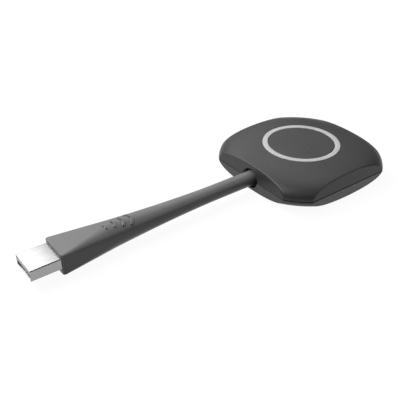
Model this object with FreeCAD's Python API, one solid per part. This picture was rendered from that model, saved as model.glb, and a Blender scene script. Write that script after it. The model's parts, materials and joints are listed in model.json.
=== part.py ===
import FreeCAD
import Part
import math
import os

# Wireless presentation dongle: a flat pillow-shaped head with a push button and a light
# ring, on a stiff moulded tail that ends in a USB-A plug.
# Frame: the origin is the centre of the foot pad's lower face, on the surface that the
# head stands on. +Z is up, the tail runs along -X, and all sizes are millimetres.

V = FreeCAD.Vector
X_AXIS = V(1, 0, 0)
Z_AXIS = V(0, 0, 1)

# Working lengths: past every face for a cut that runs through, and how far two bodies that
# are joined into one run into each other
beyond = 200.0
bite = 0.1

# Head: a turned dome above and below the seam, cut by four drafted flats
head_round_r = 36.35
head_flat_half = 29.65
crown_height = 8.0
keel_depth = 7.2
land_depth = 6.2
dome_power = 4.0
flat_draft_deg = 8.0
wall = 1.7
dome_points = 12

# Foot pad
pad_r = 24.8
pad_proud = 0.4
pad_recess = 0.6
pad_fit = 0.1
pad_edge = 0.25

# Seam between the covers
shut_gap = 0.3
lip_inset = 0.85
lip_wall = 0.75
lip_height = 0.9
lip_fit = 0.08

# Light ring and push button
ring_inner_r = 14.9
ring_width = 2.5
ring_proud = 0.2
ring_flange = 1.1
ring_flange_height = 0.95
ring_fit = 0.05
ring_edge = 0.25
button_gap = 0.2
button_wall = 1.5
button_edge = 0.3
skirt_wall = 1.0
skirt_fit = 0.1
hook_count = 3
hook_reach = 0.85
hook_height = 1.0
hook_angle_deg = 16.0
hook_first_deg = 30.0
hook_rest_gap = 0.05
button_rib_wall = 0.9
button_rib_drop = 1.4
boss_r = 2.2

# Ring board, its lamps and the white reflector
ring_board_thick = 0.8
ring_board_gap = 0.1
ring_board_margin = 1.4
post_notch_gap = 0.3
ring_board_height = 9.4
led_count = 12
led_size = 1.5
led_height = 0.6
reflector_height = 2.1
reflector_floor = 0.5
reflector_wall = 1.0
reflector_fit = 0.1
reflector_gap = 0.2
reflector_window_gap = 0.04
ring_screw_out = 1.1
ring_screw_count = 3
ring_ear_r = 2.6
light_rib_wall = 1.0
light_rib_gap = 0.15

# Screws
screw_shank_r = 0.95
screw_head_r = 1.9
screw_head_height = 1.2
screw_thread_fit = 0.03
screw_clear = 0.2
screw_head_sink = 0.1
screw_hole_spare = 0.3
screw_slot_length = 1.3
screw_slot_width = 0.25
screw_slot_depth = 0.5
pad_past_screw = 0.1
cover_screw_length = 7.5
ring_screw_shank_r = 0.75
ring_screw_head_r = 1.5
ring_screw_head_height = 0.9
ring_screw_length = 3.0
post_r = 2.4
bottom_boss_r = 3.0
ring_post_r = 2.1

# Main board and what stands on it
board_thick = 1.2
board_height = 4.6
board_edge_gap = 1.9
board_notch_half = 8.2
board_notch_end = 18.2
can_sheet = 0.2
can_x = 13.5
can_length = 15.4
can_width = 17.0
can_height = 2.2
vent_r = 0.5
vent_columns = 5
processor_size = 8.4
processor_height = 1.0
memory_length = 4.4
memory_width = 8.0
memory_height = 0.9
chip_gap = 0.7
radio_from_edge = 4.9
radio_length = 12.0
radio_width = 11.0
radio_board_thick = 0.6
radio_can_height = 1.6
radio_can_margin = 1.2
link_length = 8.0
link_width = 2.6
capacitor_count = 6
capacitor_length = 1.6
capacitor_width = 0.8
capacitor_pitch = 2.5
can_row_gap = 2.2
inductor_size = 4.0
inductor_height = 2.0
inductor_count = 2
inductor_y = -12.0
inductor_pitch = 5.5
post_part_gap = 0.6
flash_y = 11.5
flash_length = 6.0
flash_width = 8.0
flash_height = 1.0
regulator_x = -8.2
regulator_y = -5.9
regulator_size = 4.0
regulator_height = 0.9
crystal_length = 3.2
crystal_width = 2.5
crystal_height = 0.8
antenna_height = 3.0
antenna_sheet = 0.3
antenna_length = 14.0
antenna_x = -3.0
antenna_inset = 0.6
antenna_foot = 1.8
antenna_arm = 1.2
antenna_leg = 1.0

# Cable socket on the board and the plug in it
cable_socket_x = -13.3
cable_socket_length = 4.6
cable_socket_width = 8.4
cable_socket_height = 2.5
cable_socket_wall = 0.6
cable_plug_length = 2.6
cable_plug_depth = 1.2
cable_plug_fit = 0.1
cable_plug_pitch = 1.7

# Tactile switch under the button
switch_size = 6.0
switch_height = 2.9
switch_frame_thick = 0.3
switch_cavity_r = 2.6
switch_floor = 0.4
stem_r = 1.75
stem_collar_r = 2.3
stem_collar_height = 0.75
stem_fit = 0.1
stem_proud = 1.2
stem_top_gap = 0.03
dome_sheet = 0.1
dome_rise = 0.75
dome_gap = 0.05
dome_side_gap = 0.2

# Heat spreader under the board
spreader_thick = 1.5
spreader_half_x = 12.4
spreader_half_y = 19.8
spreader_reach = 22.7
spreader_reach_half = 12.3
spreader_rib = 0.3
spreader_rib_y = 12.0
spreader_rib_wall = 1.2
thermal_pad_size = 16.0

# Tail: a round arm that swells to a rectangular plug grip
tail_r = 3.25
tail_straight_end = 48.6
taper_rate = 0.00333
taper_power = 1.67
taper_points = 9
grip_start = 96.8
grip_end = 119.8
grip_width = 13.8
grip_height = 8.7
grip_corner = 0.5
grip_nose_r = 1.2
tail_past_grommet = 0.1
rib_count = 4
rib_first = 99.4
rib_pitch = 3.73
rib_width = 1.3
rib_height = 0.35
rib_bend_r = 3.2
rib_half_span_first = 1.05
rib_half_span_step = 0.57
rib_roll_deg = 14.0
rib_skin_reach = 8.0
rib_widest_sine = 0.97

# Tail socket in the head and the grommet in it
socket_r = 4.7
socket_mouth_gap = 0.9
grommet_face = 1.7
grommet_disc = 2.3
grommet_neck = 1.8
grommet_rear = 1.4
grommet_neck_r = 3.85
grommet_fit = 0.05
grommet_bore_fit = 0.02
cradle_half = 7.2
cradle_gap = 0.3
socket_relief = 0.2

# Cable core in the tail
jacket_r = 2.1
jacket_wall = 0.4
braid_wall = 0.2
wire_r = 0.4
wire_pitch = 1.1
wire_lead = 0.8
wire_joint_gap = 0.5
jacket_fit = 0.02
jacket_past_tail = 0.4
jacket_in_mould = 3.0

# USB-A plug
plug_rise = 0.4
shell_width = 12.0
shell_height = 4.5
shell_sheet = 0.3
shell_exposed = 11.5
shell_buried = 6.4
shell_corner = 0.6
window_length = 2.0
window_width = 2.5
window_pitch = 5.6
window_from_tip = 5.2
tongue_thick = 1.9
tongue_setback = 0.8
tongue_base_length = 9.0
tongue_fit = 0.1
contact_width = 1.0
contact_thick = 0.25
contact_setback = 1.2
contact_tail = 1.8
contact_outer_pitch = 7.0
contact_inner_pitch = 2.0
contact_fit = 0.02
mould_front_width = 12.5
mould_front_height = 6.8
mould_rear_width = 9.0
mould_rear_height = 5.9
mould_length = 16.0
mould_setback = 1.0
mould_fit = 0.03
mould_cavity_half_y = 4.4
mould_cavity_half_z = 1.5
crimp_wall = 0.35
crimp_length = 2.6

# Heights and places worked out from the sizes above
seam = pad_proud + land_depth
land = pad_proud
crown = seam + crown_height
floor_inside = land + wall
draft = math.tan(math.radians(flat_draft_deg))
cavity_r = head_round_r - wall
cavity_half = head_flat_half - wall
cavity_crown = crown_height - wall
cavity_keel = keel_depth - wall
board_half = cavity_half - board_edge_gap
radio_y = board_half - radio_from_edge - radio_width / 2
board_top = board_height + board_thick
ring_board_top = ring_board_height + ring_board_thick
reflector_top = ring_board_top + reflector_height
cover_screw_seat = land + pad_recess + screw_head_height + screw_head_sink
cover_screw_circle_r = pad_r - pad_past_screw - screw_head_r - screw_clear
post_side = cover_screw_circle_r * math.sqrt(0.5) - post_r - post_part_gap
flash_x = -post_side + flash_length / 2
inductor_x = -post_side + inductor_size / 2
radio_x = flash_x + flash_length / 2 + chip_gap + radio_length / 2
ring_outer_r = ring_inner_r + ring_width
ring_mid_r = 0.5 * (ring_inner_r + ring_outer_r)
reflector_window_r = led_size * math.sqrt(0.5) + reflector_window_gap
ring_flange_bottom = reflector_top + ring_fit
ring_flange_top = ring_flange_bottom + ring_flange_height
ring_flange_r = ring_outer_r + ring_flange
ring_board_inner_r = ring_inner_r + ring_board_gap
ring_board_outer_r = ring_flange_r + ring_board_margin
ring_screw_circle_r = ring_board_outer_r + ring_screw_out
link_y = -0.5 * (ring_board_inner_r + ring_board_outer_r)
button_r = ring_inner_r - button_gap
button_under = crown - button_wall
reflector_inner_r = ring_inner_r - reflector_fit - reflector_wall
skirt_r = reflector_inner_r - skirt_fit
hook_r = skirt_r + hook_reach
hook_top = ring_board_top - hook_rest_gap
hook_bottom = hook_top - hook_height
switch_top = board_top + switch_height
frame_top = switch_top + switch_frame_thick
stem_top = frame_top + stem_proud
collar_top = switch_top - dome_gap
dome_base = board_top + switch_floor
dome_top = dome_base + dome_rise
stem_bottom = dome_top + dome_gap
tail_wall_x = -(head_flat_half)
grommet_face_x = tail_wall_x + grommet_face
grommet_neck_x = grommet_face_x + grommet_disc
grommet_rear_x = grommet_neck_x + grommet_neck
grommet_end_x = grommet_rear_x + grommet_rear
tail_inner_end = -grommet_end_x - tail_past_grommet
jacket_head_end = tail_inner_end - jacket_past_tail
mould_end = grip_end - mould_length
jacket_plug_end = mould_end + jacket_in_mould
plug_z = seam + plug_rise
shell_tip_x = -(grip_end + shell_exposed)
shell_end_x = -(grip_end - shell_buried)
tongue_tip_x = shell_tip_x + tongue_setback
tongue_base_x = shell_end_x - tongue_base_length
contact_tip_x = tongue_tip_x + contact_setback
contact_end_x = shell_end_x + contact_tail
tongue_top = plug_z + shell_height / 2 - shell_sheet - tongue_fit
contact_bottom = tongue_top - tongue_thick


def box(x0, x1, y0, y1, z0, z1):
    """A block between two corners."""
    return Part.makeBox(x1 - x0, y1 - y0, z1 - z0, V(x0, y0, z0))


def centred_box(x, y, length, width, z0, z1):
    """A block centred on a point of the plan."""
    return box(x - length / 2, x + length / 2, y - width / 2, y + width / 2, z0, z1)


def disc(radius, z0, z1, x=0.0, y=0.0):
    """An upright round block."""
    return Part.makeCylinder(radius, z1 - z0, V(x, y, z0), Z_AXIS)


def tube(outer, inner, z0, z1, x=0.0, y=0.0):
    """An upright tube."""
    return disc(outer, z0, z1, x, y).cut(disc(inner, z0 - 1, z1 + 1, x, y))


def rod_x(radius, x0, x1, y=0.0, z=seam):
    """A round bar along X."""
    return Part.makeCylinder(radius, x1 - x0, V(x0, y, z), X_AXIS)


def around(count, radius, start_deg=0.0):
    """Plan points spaced evenly on a circle."""
    points = []
    for index in range(count):
        angle = math.radians(start_deg + 360.0 * index / count)
        points.append((radius * math.cos(angle), radius * math.sin(angle)))
    return points


def fuse_all(shapes):
    """One solid from several that touch or overlap."""
    result = shapes[0]
    for shape in shapes[1:]:
        result = result.fuse(shape)
    return result.removeSplitter()


def cut_all(shape, tools):
    """A solid with each tool taken out of it."""
    for tool in tools:
        shape = shape.cut(tool)
    return shape


def save(name, shape):
    """Write one named piece."""
    if isinstance(shape, list):
        shape = Part.makeCompound(shape)
    elif shape.ShapeType != "Solid" and len(shape.Solids) == 1:
        shape = shape.Solids[0]
    shape.exportStep("parts/" + name + ".step")
    print(name, len(shape.Solids), round(shape.Volume, 2), shape.isValid())


def dome_curve(radius, height, up):
    """A flattened quarter curve: radius times the root of sine, height times cosine."""
    points = []
    for step in range(dome_points + 1):
        angle = 0.5 * math.pi * step / dome_points
        across = radius * math.sin(angle) ** (2.0 / dome_power)
        points.append(V(across, 0, up * height * math.cos(angle)))
    curve = Part.BSplineCurve()
    curve.interpolate(Points=points, InitialTangent=X_AXIS, FinalTangent=V(0, 0, -up))
    return curve.toShape()


def drafted_block(half, height, up):
    """A square block whose four sides lean in by the flats' draft."""
    rings = []
    for rise in (0.0, 1.2 * height):
        side = half - rise * draft
        corners = [V(side, side, up * rise), V(-side, side, up * rise)]
        corners += [V(-side, -side, up * rise), V(side, -side, up * rise)]
        rings.append(Part.makePolygon(corners + corners[:1]))
    return Part.makeLoft(rings, True, True)


def pillow_half(radius, half, height, up):
    """One half of the head's form, standing on the seam: a turned dome with four flats."""
    edge = dome_curve(radius, height, up)
    base = Part.makeLine(V(radius, 0, 0), V(0, 0, 0))
    axis = Part.makeLine(V(0, 0, 0), V(0, 0, up * height))
    face = Part.Face(Part.Wire([edge, base, axis]))
    dome = face.revolve(V(0, 0, 0), Z_AXIS, 360)
    form = dome.common(drafted_block(half, height, up))
    form.translate(V(0, 0, seam))
    return form


def outline(inset, z0, z1):
    """A block with the seam's outline, drawn in by an inset."""
    square = 2 * (head_flat_half - inset)
    return disc(head_round_r - inset, z0, z1).common(centred_box(0, 0, square, square, z0, z1))


def above(z):
    """Everything over a height."""
    return box(-beyond, beyond, -beyond, beyond, z, z + beyond)


def below(z):
    """Everything under a height."""
    return box(-beyond, beyond, -beyond, beyond, z - beyond, z)


def socket_cut():
    """The stepped bore that holds the grommet behind a mouth a little wider than the tail."""
    mouth = rod_x(tail_r + socket_mouth_gap, tail_wall_x - 2, grommet_face_x)
    front = rod_x(socket_r, grommet_face_x - grommet_fit, grommet_neck_x)
    neck = rod_x(grommet_neck_r + grommet_fit, grommet_neck_x - 1, grommet_rear_x - grommet_fit)
    rear = rod_x(socket_r, grommet_rear_x - grommet_fit, grommet_end_x + 2)
    return fuse_all([mouth, front, neck, rear])


def cradle(cavity):
    """The block inside a cover that carries the grommet."""
    block = box(-beyond, grommet_rear_x - grommet_fit, -cradle_half, cradle_half, 0, beyond)
    return block.common(cavity)


def make_top_cover():
    """Upper shell with the ring's opening, the posts and the upper half of the socket."""
    outer = pillow_half(head_round_r, head_flat_half, crown_height, 1)
    cavity = pillow_half(cavity_r, cavity_half, cavity_crown, 1)
    shell = outer.cut(cavity)
    extras = [cradle(cavity).common(above(seam + lip_height + cradle_gap))]
    for x, y in around(4, cover_screw_circle_r, 45):
        foot = disc(post_r, board_top, seam + bite, x, y)
        extras.append(disc(post_r, seam, crown, x, y).common(cavity).fuse(foot))
    for x, y in around(ring_screw_count, ring_screw_circle_r, 90):
        extras.append(disc(ring_post_r, ring_board_top, crown, x, y).common(cavity))
    rib_inner = ring_flange_r + light_rib_gap
    rib = tube(rib_inner + light_rib_wall, rib_inner, ring_board_top + light_rib_gap, crown)
    extras.append(rib.common(cavity))
    body = fuse_all([shell] + extras)
    cuts = [below(seam + shut_gap / 2).common(outline(-2, seam - 1, seam + 1).cut(
        outline(lip_inset + lip_wall, seam - 2, seam + 2)))]
    cuts.append(outline(lip_inset - lip_fit, seam - 1, seam + lip_height + lip_fit).cut(
        outline(wall, seam - 2, seam + 2)))
    cuts.append(disc(ring_outer_r + ring_fit, ring_flange_bottom, crown + 2))
    cuts.append(disc(ring_flange_r + ring_fit, ring_board_top, ring_flange_top + ring_fit))
    cuts.append(socket_cut())
    for x, y in around(4, cover_screw_circle_r, 45):
        hole_top = cover_screw_seat + cover_screw_length + screw_hole_spare
        cuts.append(disc(screw_shank_r + screw_thread_fit, 0, hole_top, x, y))
    for x, y in around(ring_screw_count, ring_screw_circle_r, 90):
        hole_top = ring_board_height + ring_screw_length + screw_hole_spare
        cuts.append(disc(ring_screw_shank_r + screw_thread_fit, 0, hole_top, x, y))
    return cut_all(body, cuts)


def make_bottom_cover():
    """Lower shell with the foot pad's recess, bosses, the lip and the lower socket."""
    outer = pillow_half(head_round_r, head_flat_half, keel_depth, -1).common(above(land))
    cavity = pillow_half(cavity_r, cavity_half, cavity_keel, -1).common(above(floor_inside))
    shell = outer.cut(cavity)
    extras = [cradle(cavity)]
    for x, y in around(4, cover_screw_circle_r, 45):
        extras.append(disc(bottom_boss_r, land, board_height, x, y))
    for side in (-1, 1):
        extras.append(centred_box(0, side * spreader_rib_y, 2 * spreader_half_x, spreader_rib_wall,
                                  floor_inside - bite, floor_inside + spreader_rib))
    body = fuse_all([shell] + extras)
    lip = outline(lip_inset, seam - 1.5, seam + lip_height).cut(
        outline(lip_inset + lip_wall, seam - 3, seam + 3))
    shut_line = above(seam - shut_gap / 2).common(outline(-2, seam - 1, seam + 1).cut(
        outline(lip_inset, seam - 2, seam + 2)))
    body = body.cut(shut_line).fuse(lip)
    cuts = [disc(pad_r + pad_fit, 0, land + pad_recess), socket_cut()]
    cuts.append(rod_x(socket_r + socket_relief, -beyond, grommet_end_x).common(above(seam)))
    for x, y in around(4, cover_screw_circle_r, 45):
        cuts.append(disc(screw_head_r + screw_clear, 0, cover_screw_seat, x, y))
        cuts.append(disc(screw_shank_r + screw_clear, 0, crown, x, y))
    return cut_all(body, cuts).removeSplitter()


def make_foot_pad():
    """Flat rubber disc that fills the recess and stands proud of the cover."""
    pad = disc(pad_r, 0, land + pad_recess)
    rim = [edge for edge in pad.Edges if edge.BoundBox.ZMax < 0.01]
    return pad.makeFillet(pad_edge, rim)


def make_light_ring():
    """Translucent ring with a flange that the top cover holds down."""
    top = seam + crown_height * (1 - (ring_mid_r / head_round_r) ** dome_power) ** 0.5 + ring_proud
    ring = tube(ring_outer_r, ring_inner_r, ring_flange_bottom, top)
    rims = [edge for edge in ring.Edges if edge.BoundBox.ZMin > top - 0.01]
    ring = ring.makeFillet(ring_edge, rims)
    flange = tube(ring_flange_r, ring_inner_r, ring_flange_bottom, ring_flange_top)
    return ring.fuse(flange).removeSplitter()


def make_button_cap():
    """Round cap that follows the crown, with a skirt, hooks, ribs and a centre boss."""
    cap = pillow_half(head_round_r, head_flat_half, crown_height, 1)
    cap = cap.common(disc(button_r, button_under, crown + 1))
    rims = [edge for edge in cap.Edges
            if edge.BoundBox.ZMin > button_under + 0.5 and edge.BoundBox.XLength > button_r]
    cap = cap.makeFillet(button_edge, rims)
    pieces = [cap, tube(skirt_r, skirt_r - skirt_wall, hook_bottom, button_under + bite)]
    pieces.append(disc(boss_r, stem_top + stem_top_gap, button_under + bite))
    for turn in (0, 90):
        rib = centred_box(0, 0, 2 * skirt_r - skirt_wall, button_rib_wall,
                          button_under - button_rib_drop, button_under + bite)
        rib.rotate(V(0, 0, 0), Z_AXIS, turn)
        pieces.append(rib)
    for index in range(hook_count):
        ring = Part.makeCylinder(hook_r, hook_height, V(0, 0, hook_bottom), Z_AXIS,
                                 hook_angle_deg)
        ring = ring.cut(disc(skirt_r - 0.5 * skirt_wall, hook_bottom - 1, hook_top + 1))
        ring.rotate(V(0, 0, 0), Z_AXIS, hook_first_deg + index * 360.0 / hook_count)
        pieces.append(ring)
    return fuse_all(pieces)


def make_reflector():
    """White trough over the lamps; its inner wall guides the button's skirt."""
    outer_r = ring_flange_r - reflector_gap
    inner_wall = tube(reflector_inner_r + reflector_wall, reflector_inner_r,
                      ring_board_top, reflector_top)
    outer_wall = tube(outer_r, outer_r - reflector_wall, ring_board_top, reflector_top)
    floor = tube(outer_r - bite, reflector_inner_r + bite, ring_board_top,
                 ring_board_top + reflector_floor)
    windows = [disc(reflector_window_r, ring_board_top - 1, ring_board_top + 1, x, y)
               for x, y in around(led_count, ring_mid_r)]
    return cut_all(fuse_all([inner_wall, outer_wall, floor]), windows)


def make_ring_board():
    """Annular board with three screw ears, notched where the cover posts pass."""
    board = disc(ring_board_outer_r, ring_board_height, ring_board_top)
    ears = [disc(ring_ear_r, ring_board_height, ring_board_top, x, y)
            for x, y in around(ring_screw_count, ring_screw_circle_r, 90)]
    board = fuse_all([board] + ears)
    holes = [disc(ring_screw_shank_r + screw_clear, 0, crown, x, y)
             for x, y in around(ring_screw_count, ring_screw_circle_r, 90)]
    notches = [disc(post_r + post_notch_gap, 0, crown, x, y)
               for x, y in around(4, cover_screw_circle_r, 45)]
    return cut_all(board, holes + notches + [disc(ring_board_inner_r, 0, crown)])


def make_leds():
    """Lamps that light the ring from below."""
    return [centred_box(x, y, led_size, led_size, ring_board_top, ring_board_top + led_height)
            for x, y in around(led_count, ring_mid_r)]


def screw(x, y, seat, shank_r, head_r, head_height, length):
    """Pan-head screw that points up, with a cross slot in its head."""
    body = disc(head_r, seat - head_height, seat, x, y).fuse(
        disc(shank_r, seat, seat + length, x, y))
    for turn in (0, 90):
        slot = centred_box(0, 0, screw_slot_length * head_r, screw_slot_width * head_r,
                           -beyond, screw_slot_depth * head_height)
        slot.rotate(V(0, 0, 0), Z_AXIS, turn)
        slot.translate(V(x, y, seat - head_height))
        body = body.cut(slot)
    return body.removeSplitter()


def make_cover_screws():
    """Four screws under the foot pad that close the head."""
    return [screw(x, y, cover_screw_seat, screw_shank_r, screw_head_r, screw_head_height,
                  cover_screw_length) for x, y in around(4, cover_screw_circle_r, 45)]


def make_ring_screws():
    """Screws that hold the ring board to the top cover."""
    return [screw(x, y, ring_board_height, ring_screw_shank_r, ring_screw_head_r,
                  ring_screw_head_height, ring_screw_length)
            for x, y in around(ring_screw_count, ring_screw_circle_r, 90)]


def make_main_board():
    """Circuit board clamped between the bosses and the posts."""
    board = outline(wall + board_edge_gap, board_height, board_top)
    board = board.cut(box(-beyond, -board_notch_end, -board_notch_half, board_notch_half, 0, crown))
    holes = [disc(screw_shank_r + screw_clear, 0, crown, x, y)
             for x, y in around(4, cover_screw_circle_r, 45)]
    return cut_all(board, holes)


def on_board(x, y, length, width, height):
    """A component body standing on the main board."""
    return centred_box(x, y, length, width, board_top, board_top + height)


def shield_can(x, y, length, width, base, height):
    """Pressed metal lid, open below, with two rows of vent holes."""
    can = centred_box(x, y, length, width, base, base + height)
    inner_length = length - 2 * can_sheet
    inner_width = width - 2 * can_sheet
    can = can.cut(centred_box(x, y, inner_length, inner_width, base - 1, base + height - can_sheet))
    for column in range(vent_columns):
        vent_x = x + (column - 0.5 * (vent_columns - 1)) * length / (vent_columns + 1)
        for side in (-1, 1):
            can = can.cut(disc(vent_r, base + 0.5 * height, crown, vent_x, y + side * 0.2 * width))
    return can


def make_processor():
    """Main chip, in the tail-side half of the shield can."""
    x = can_x - can_length / 2 + chip_gap + processor_size / 2
    return on_board(x, 0, processor_size, processor_size, processor_height)


def make_memory():
    """Memory chip beside the main chip."""
    x = can_x - can_length / 2 + 2 * chip_gap + processor_size + memory_length / 2
    return on_board(x, 0, memory_length, memory_width, memory_height)


def make_radio_board():
    """Small radio board soldered on the main board."""
    return on_board(radio_x, radio_y, radio_length, radio_width, radio_board_thick)


def make_radio_can():
    """Lid of the radio board."""
    base = board_top + radio_board_thick
    length = radio_length - radio_can_margin
    width = radio_width - radio_can_margin
    return shield_can(radio_x, radio_y, length, width, base, radio_can_height)


def make_board_link():
    """Pin header that joins the two boards."""
    return centred_box(0, link_y, link_length, link_width, board_top, ring_board_height)


def make_capacitors():
    """Row of small capacitors beside the shield can."""
    parts = []
    for index in range(capacitor_count):
        x = can_x + (index - 0.5 * (capacitor_count - 1)) * capacitor_pitch
        y = -can_width / 2 - can_row_gap
        parts.append(on_board(x, y, capacitor_length, capacitor_width, capacitor_width))
    return parts


def make_inductors():
    """Two coils of the power supply."""
    return [on_board(inductor_x + index * inductor_pitch, inductor_y, inductor_size,
                     inductor_size, inductor_height) for index in range(inductor_count)]


def make_flash_chip():
    """Storage chip beside the radio board."""
    return on_board(flash_x, flash_y, flash_length, flash_width, flash_height)


def make_regulator_chip():
    """Power chip between the cable socket and the coils."""
    return on_board(regulator_x, regulator_y, regulator_size, regulator_size, regulator_height)


def make_crystal():
    """Clock crystal in its metal case, across the shield can from the capacitors."""
    y = can_width / 2 + can_row_gap
    return on_board(can_x, y, crystal_length, crystal_width, crystal_height)


def make_switch_body():
    """Square switch housing with a round well."""
    body = centred_box(0, 0, switch_size, switch_size, board_top, switch_top)
    return body.cut(disc(switch_cavity_r, dome_base, switch_top + 1))


def make_switch_frame():
    """Metal plate that keeps the stem in the switch."""
    plate = centred_box(0, 0, switch_size, switch_size, switch_top, frame_top)
    return plate.cut(disc(stem_r + stem_fit, switch_top - 1, frame_top + 1))


def make_switch_stem():
    """Plunger with a collar under the frame."""
    collar = disc(stem_collar_r, collar_top - stem_collar_height, collar_top)
    return disc(stem_r, stem_bottom, stem_top).fuse(collar).removeSplitter()


def make_switch_dome():
    """Thin snap dome on the floor of the well."""
    span = switch_cavity_r - dome_side_gap
    sphere_r = (span ** 2 + dome_rise ** 2) / (2 * dome_rise)
    centre = V(0, 0, dome_top - sphere_r)
    cap = Part.makeSphere(sphere_r, centre).cut(Part.makeSphere(sphere_r - dome_sheet, centre))
    return cap.common(disc(span + 1, dome_base, dome_top + 1))


def make_antenna(side):
    """Pressed metal antenna: a foot on the board, an upright, a folded arm and an end leg."""
    back = board_half - antenna_inset
    front = back - antenna_sheet
    top = board_top + antenna_height
    start = antenna_x
    stop = antenna_x + antenna_length
    foot = box(start, start + antenna_foot, front - antenna_foot, back,
               board_top, board_top + antenna_sheet)
    upright = box(start, start + antenna_foot, front, back, board_top, top)
    arm = box(start, stop, front, back, top - antenna_arm, top)
    leg = box(stop - antenna_leg, stop, front, back, board_top, top)
    antenna = fuse_all([foot, upright, arm, leg])
    if side < 0:
        antenna = antenna.mirror(V(0, 0, 0), V(0, 1, 0))
    return antenna


def make_heat_spreader():
    """Aluminium plate under the board, between the four bosses."""
    base = floor_inside + spreader_rib
    plate = box(-spreader_half_x, spreader_half_x, -spreader_half_y, spreader_half_y,
                base, base + spreader_thick)
    reach = box(0, spreader_reach, -spreader_reach_half, spreader_reach_half,
                base, base + spreader_thick)
    return plate.fuse(reach).removeSplitter()


def make_thermal_pad():
    """Soft pad that fills the gap between the plate and the board."""
    top_of_plate = floor_inside + spreader_rib + spreader_thick
    return centred_box(can_x, 0, thermal_pad_size, thermal_pad_size, top_of_plate, board_height)


def make_grommet():
    """Rubber spool on the tail, held between the covers."""
    disc_r = socket_r - grommet_fit
    spool = [rod_x(disc_r, grommet_face_x, grommet_neck_x),
             rod_x(grommet_neck_r, grommet_neck_x - bite, grommet_rear_x + bite),
             rod_x(disc_r, grommet_rear_x, grommet_end_x)]
    return fuse_all(spool).cut(rod_x(tail_r + grommet_bore_fit, -beyond, 0))


def taper_r(distance):
    """Tail radius at a distance from the head's centre towards the plug."""
    return tail_r + taper_rate * max(distance - tail_straight_end, 0.0) ** taper_power


def tapered_bar(far_end, near_end, extra):
    """Round bar along X whose radius follows the taper, with a little added."""
    points = []
    for step in range(taper_points + 1):
        distance = far_end + (tail_straight_end - far_end) * step / taper_points
        points.append(V(-distance, 0, taper_r(distance) + extra))
    curve = Part.BSplineCurve()
    curve.interpolate(Points=points)
    start = V(-far_end, 0, 0)
    stop = V(-near_end, 0, 0)
    rim = V(-near_end, 0, tail_r + extra)
    edges = [Part.makeLine(start, points[0]), curve.toShape(), Part.makeLine(points[-1], rim)]
    edges += [Part.makeLine(rim, stop), Part.makeLine(stop, start)]
    bar = Part.Face(Part.Wire(edges)).revolve(V(0, 0, 0), X_AXIS, 360)
    bar.translate(V(0, 0, seam))
    return bar


def quarter_arc(centre, radius, side_y, side_z):
    """Quarter circle across the tail, from its side point to its top or bottom point."""
    mid = math.sqrt(0.5) * radius
    first = centre + V(0, side_y * radius, 0)
    last = centre + V(0, 0, side_z * radius)
    return Part.Arc(first, centre + V(0, side_y * mid, side_z * mid), last).toShape()


def nose_form():
    """Upright block with two rounded corners, which shapes the plug's end of the grip."""
    half_y = grip_width / 2
    blocks = [box(-grip_end + grip_nose_r, 0, -half_y, half_y, 0, beyond),
              box(-grip_end, 0, -half_y + grip_nose_r, half_y - grip_nose_r, 0, beyond)]
    for side in (-1, 1):
        blocks.append(disc(grip_nose_r, 0, beyond, -grip_end + grip_nose_r, side * (half_y - grip_nose_r)))
    return fuse_all(blocks)


def make_grip():
    """Plug grip: flat triangles from each side of a rectangle to a round section."""
    start = V(-grip_end, 0, seam)
    stop = V(-grip_start, 0, seam)
    end_r = taper_r(grip_start)
    half_y = grip_width / 2
    half_z = grip_height / 2
    faces = []
    rect_edges = []
    round_edges = []
    for side_y, side_z in ((1, 1), (-1, 1), (-1, -1), (1, -1)):
        corner = start + V(0, side_y * (half_y - grip_corner), side_z * (half_z - grip_corner))
        rect_arc = quarter_arc(corner, grip_corner, side_y, side_z)
        round_arc = quarter_arc(stop, end_r, side_y, side_z)
        faces.append(Part.makeRuledSurface(rect_arc, round_arc))
        rect_edges.append(rect_arc)
        round_edges.append(round_arc)
    for side in (-1, 1):
        flat_y = half_y - grip_corner
        base = [start + V(0, -flat_y, side * half_z), start + V(0, flat_y, side * half_z)]
        apex = stop + V(0, 0, side * end_r)
        faces.append(Part.Face(Part.makePolygon(base + [apex, base[0]])))
        rect_edges.append(Part.makeLine(base[0], base[1]))
        flat_z = half_z - grip_corner
        base = [start + V(0, side * half_y, -flat_z), start + V(0, side * half_y, flat_z)]
        apex = stop + V(0, side * end_r, 0)
        faces.append(Part.Face(Part.makePolygon(base + [apex, base[0]])))
        rect_edges.append(Part.makeLine(base[0], base[1]))
    faces.append(Part.Face(Part.Wire(Part.__sortEdges__(rect_edges))))
    faces.append(Part.Face(Part.Wire(Part.__sortEdges__(round_edges))))
    shell = Part.makeShell(faces)
    shell.sewShape()
    solid = Part.makeSolid(shell)
    if solid.Volume < 0:
        solid.reverse()
    return solid.common(nose_form())


def make_grip_ribs():
    """Four raised bows on the grip, each longer than the one before it."""
    skin = tapered_bar(grip_start + rib_skin_reach, tail_inner_end, rib_height)
    ribs = []
    for index in range(rib_count):
        x = -(rib_first - index * rib_pitch)
        half_span = rib_half_span_first + index * rib_half_span_step
        sweep = math.degrees(math.asin(min(half_span / rib_bend_r, rib_widest_sine)))
        centre = V(x - rib_bend_r, 0, 0)
        band = Part.makeCylinder(rib_bend_r + rib_width / 2, beyond, centre, Z_AXIS, 2 * sweep)
        band = band.cut(Part.makeCylinder(rib_bend_r - rib_width / 2, beyond, centre, Z_AXIS))
        band.rotate(centre, Z_AXIS, -sweep)
        for side in (-1, 1):
            angle = math.radians(side * sweep)
            tip = centre + V(rib_bend_r * math.cos(angle), rib_bend_r * math.sin(angle), 0)
            band = band.fuse(Part.makeCylinder(rib_width / 2, beyond, tip, Z_AXIS))
        band.rotate(V(0, 0, 0), X_AXIS, rib_roll_deg)
        band.translate(V(0, 0, seam))
        ribs.append(band.common(skin))
    return ribs


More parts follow.
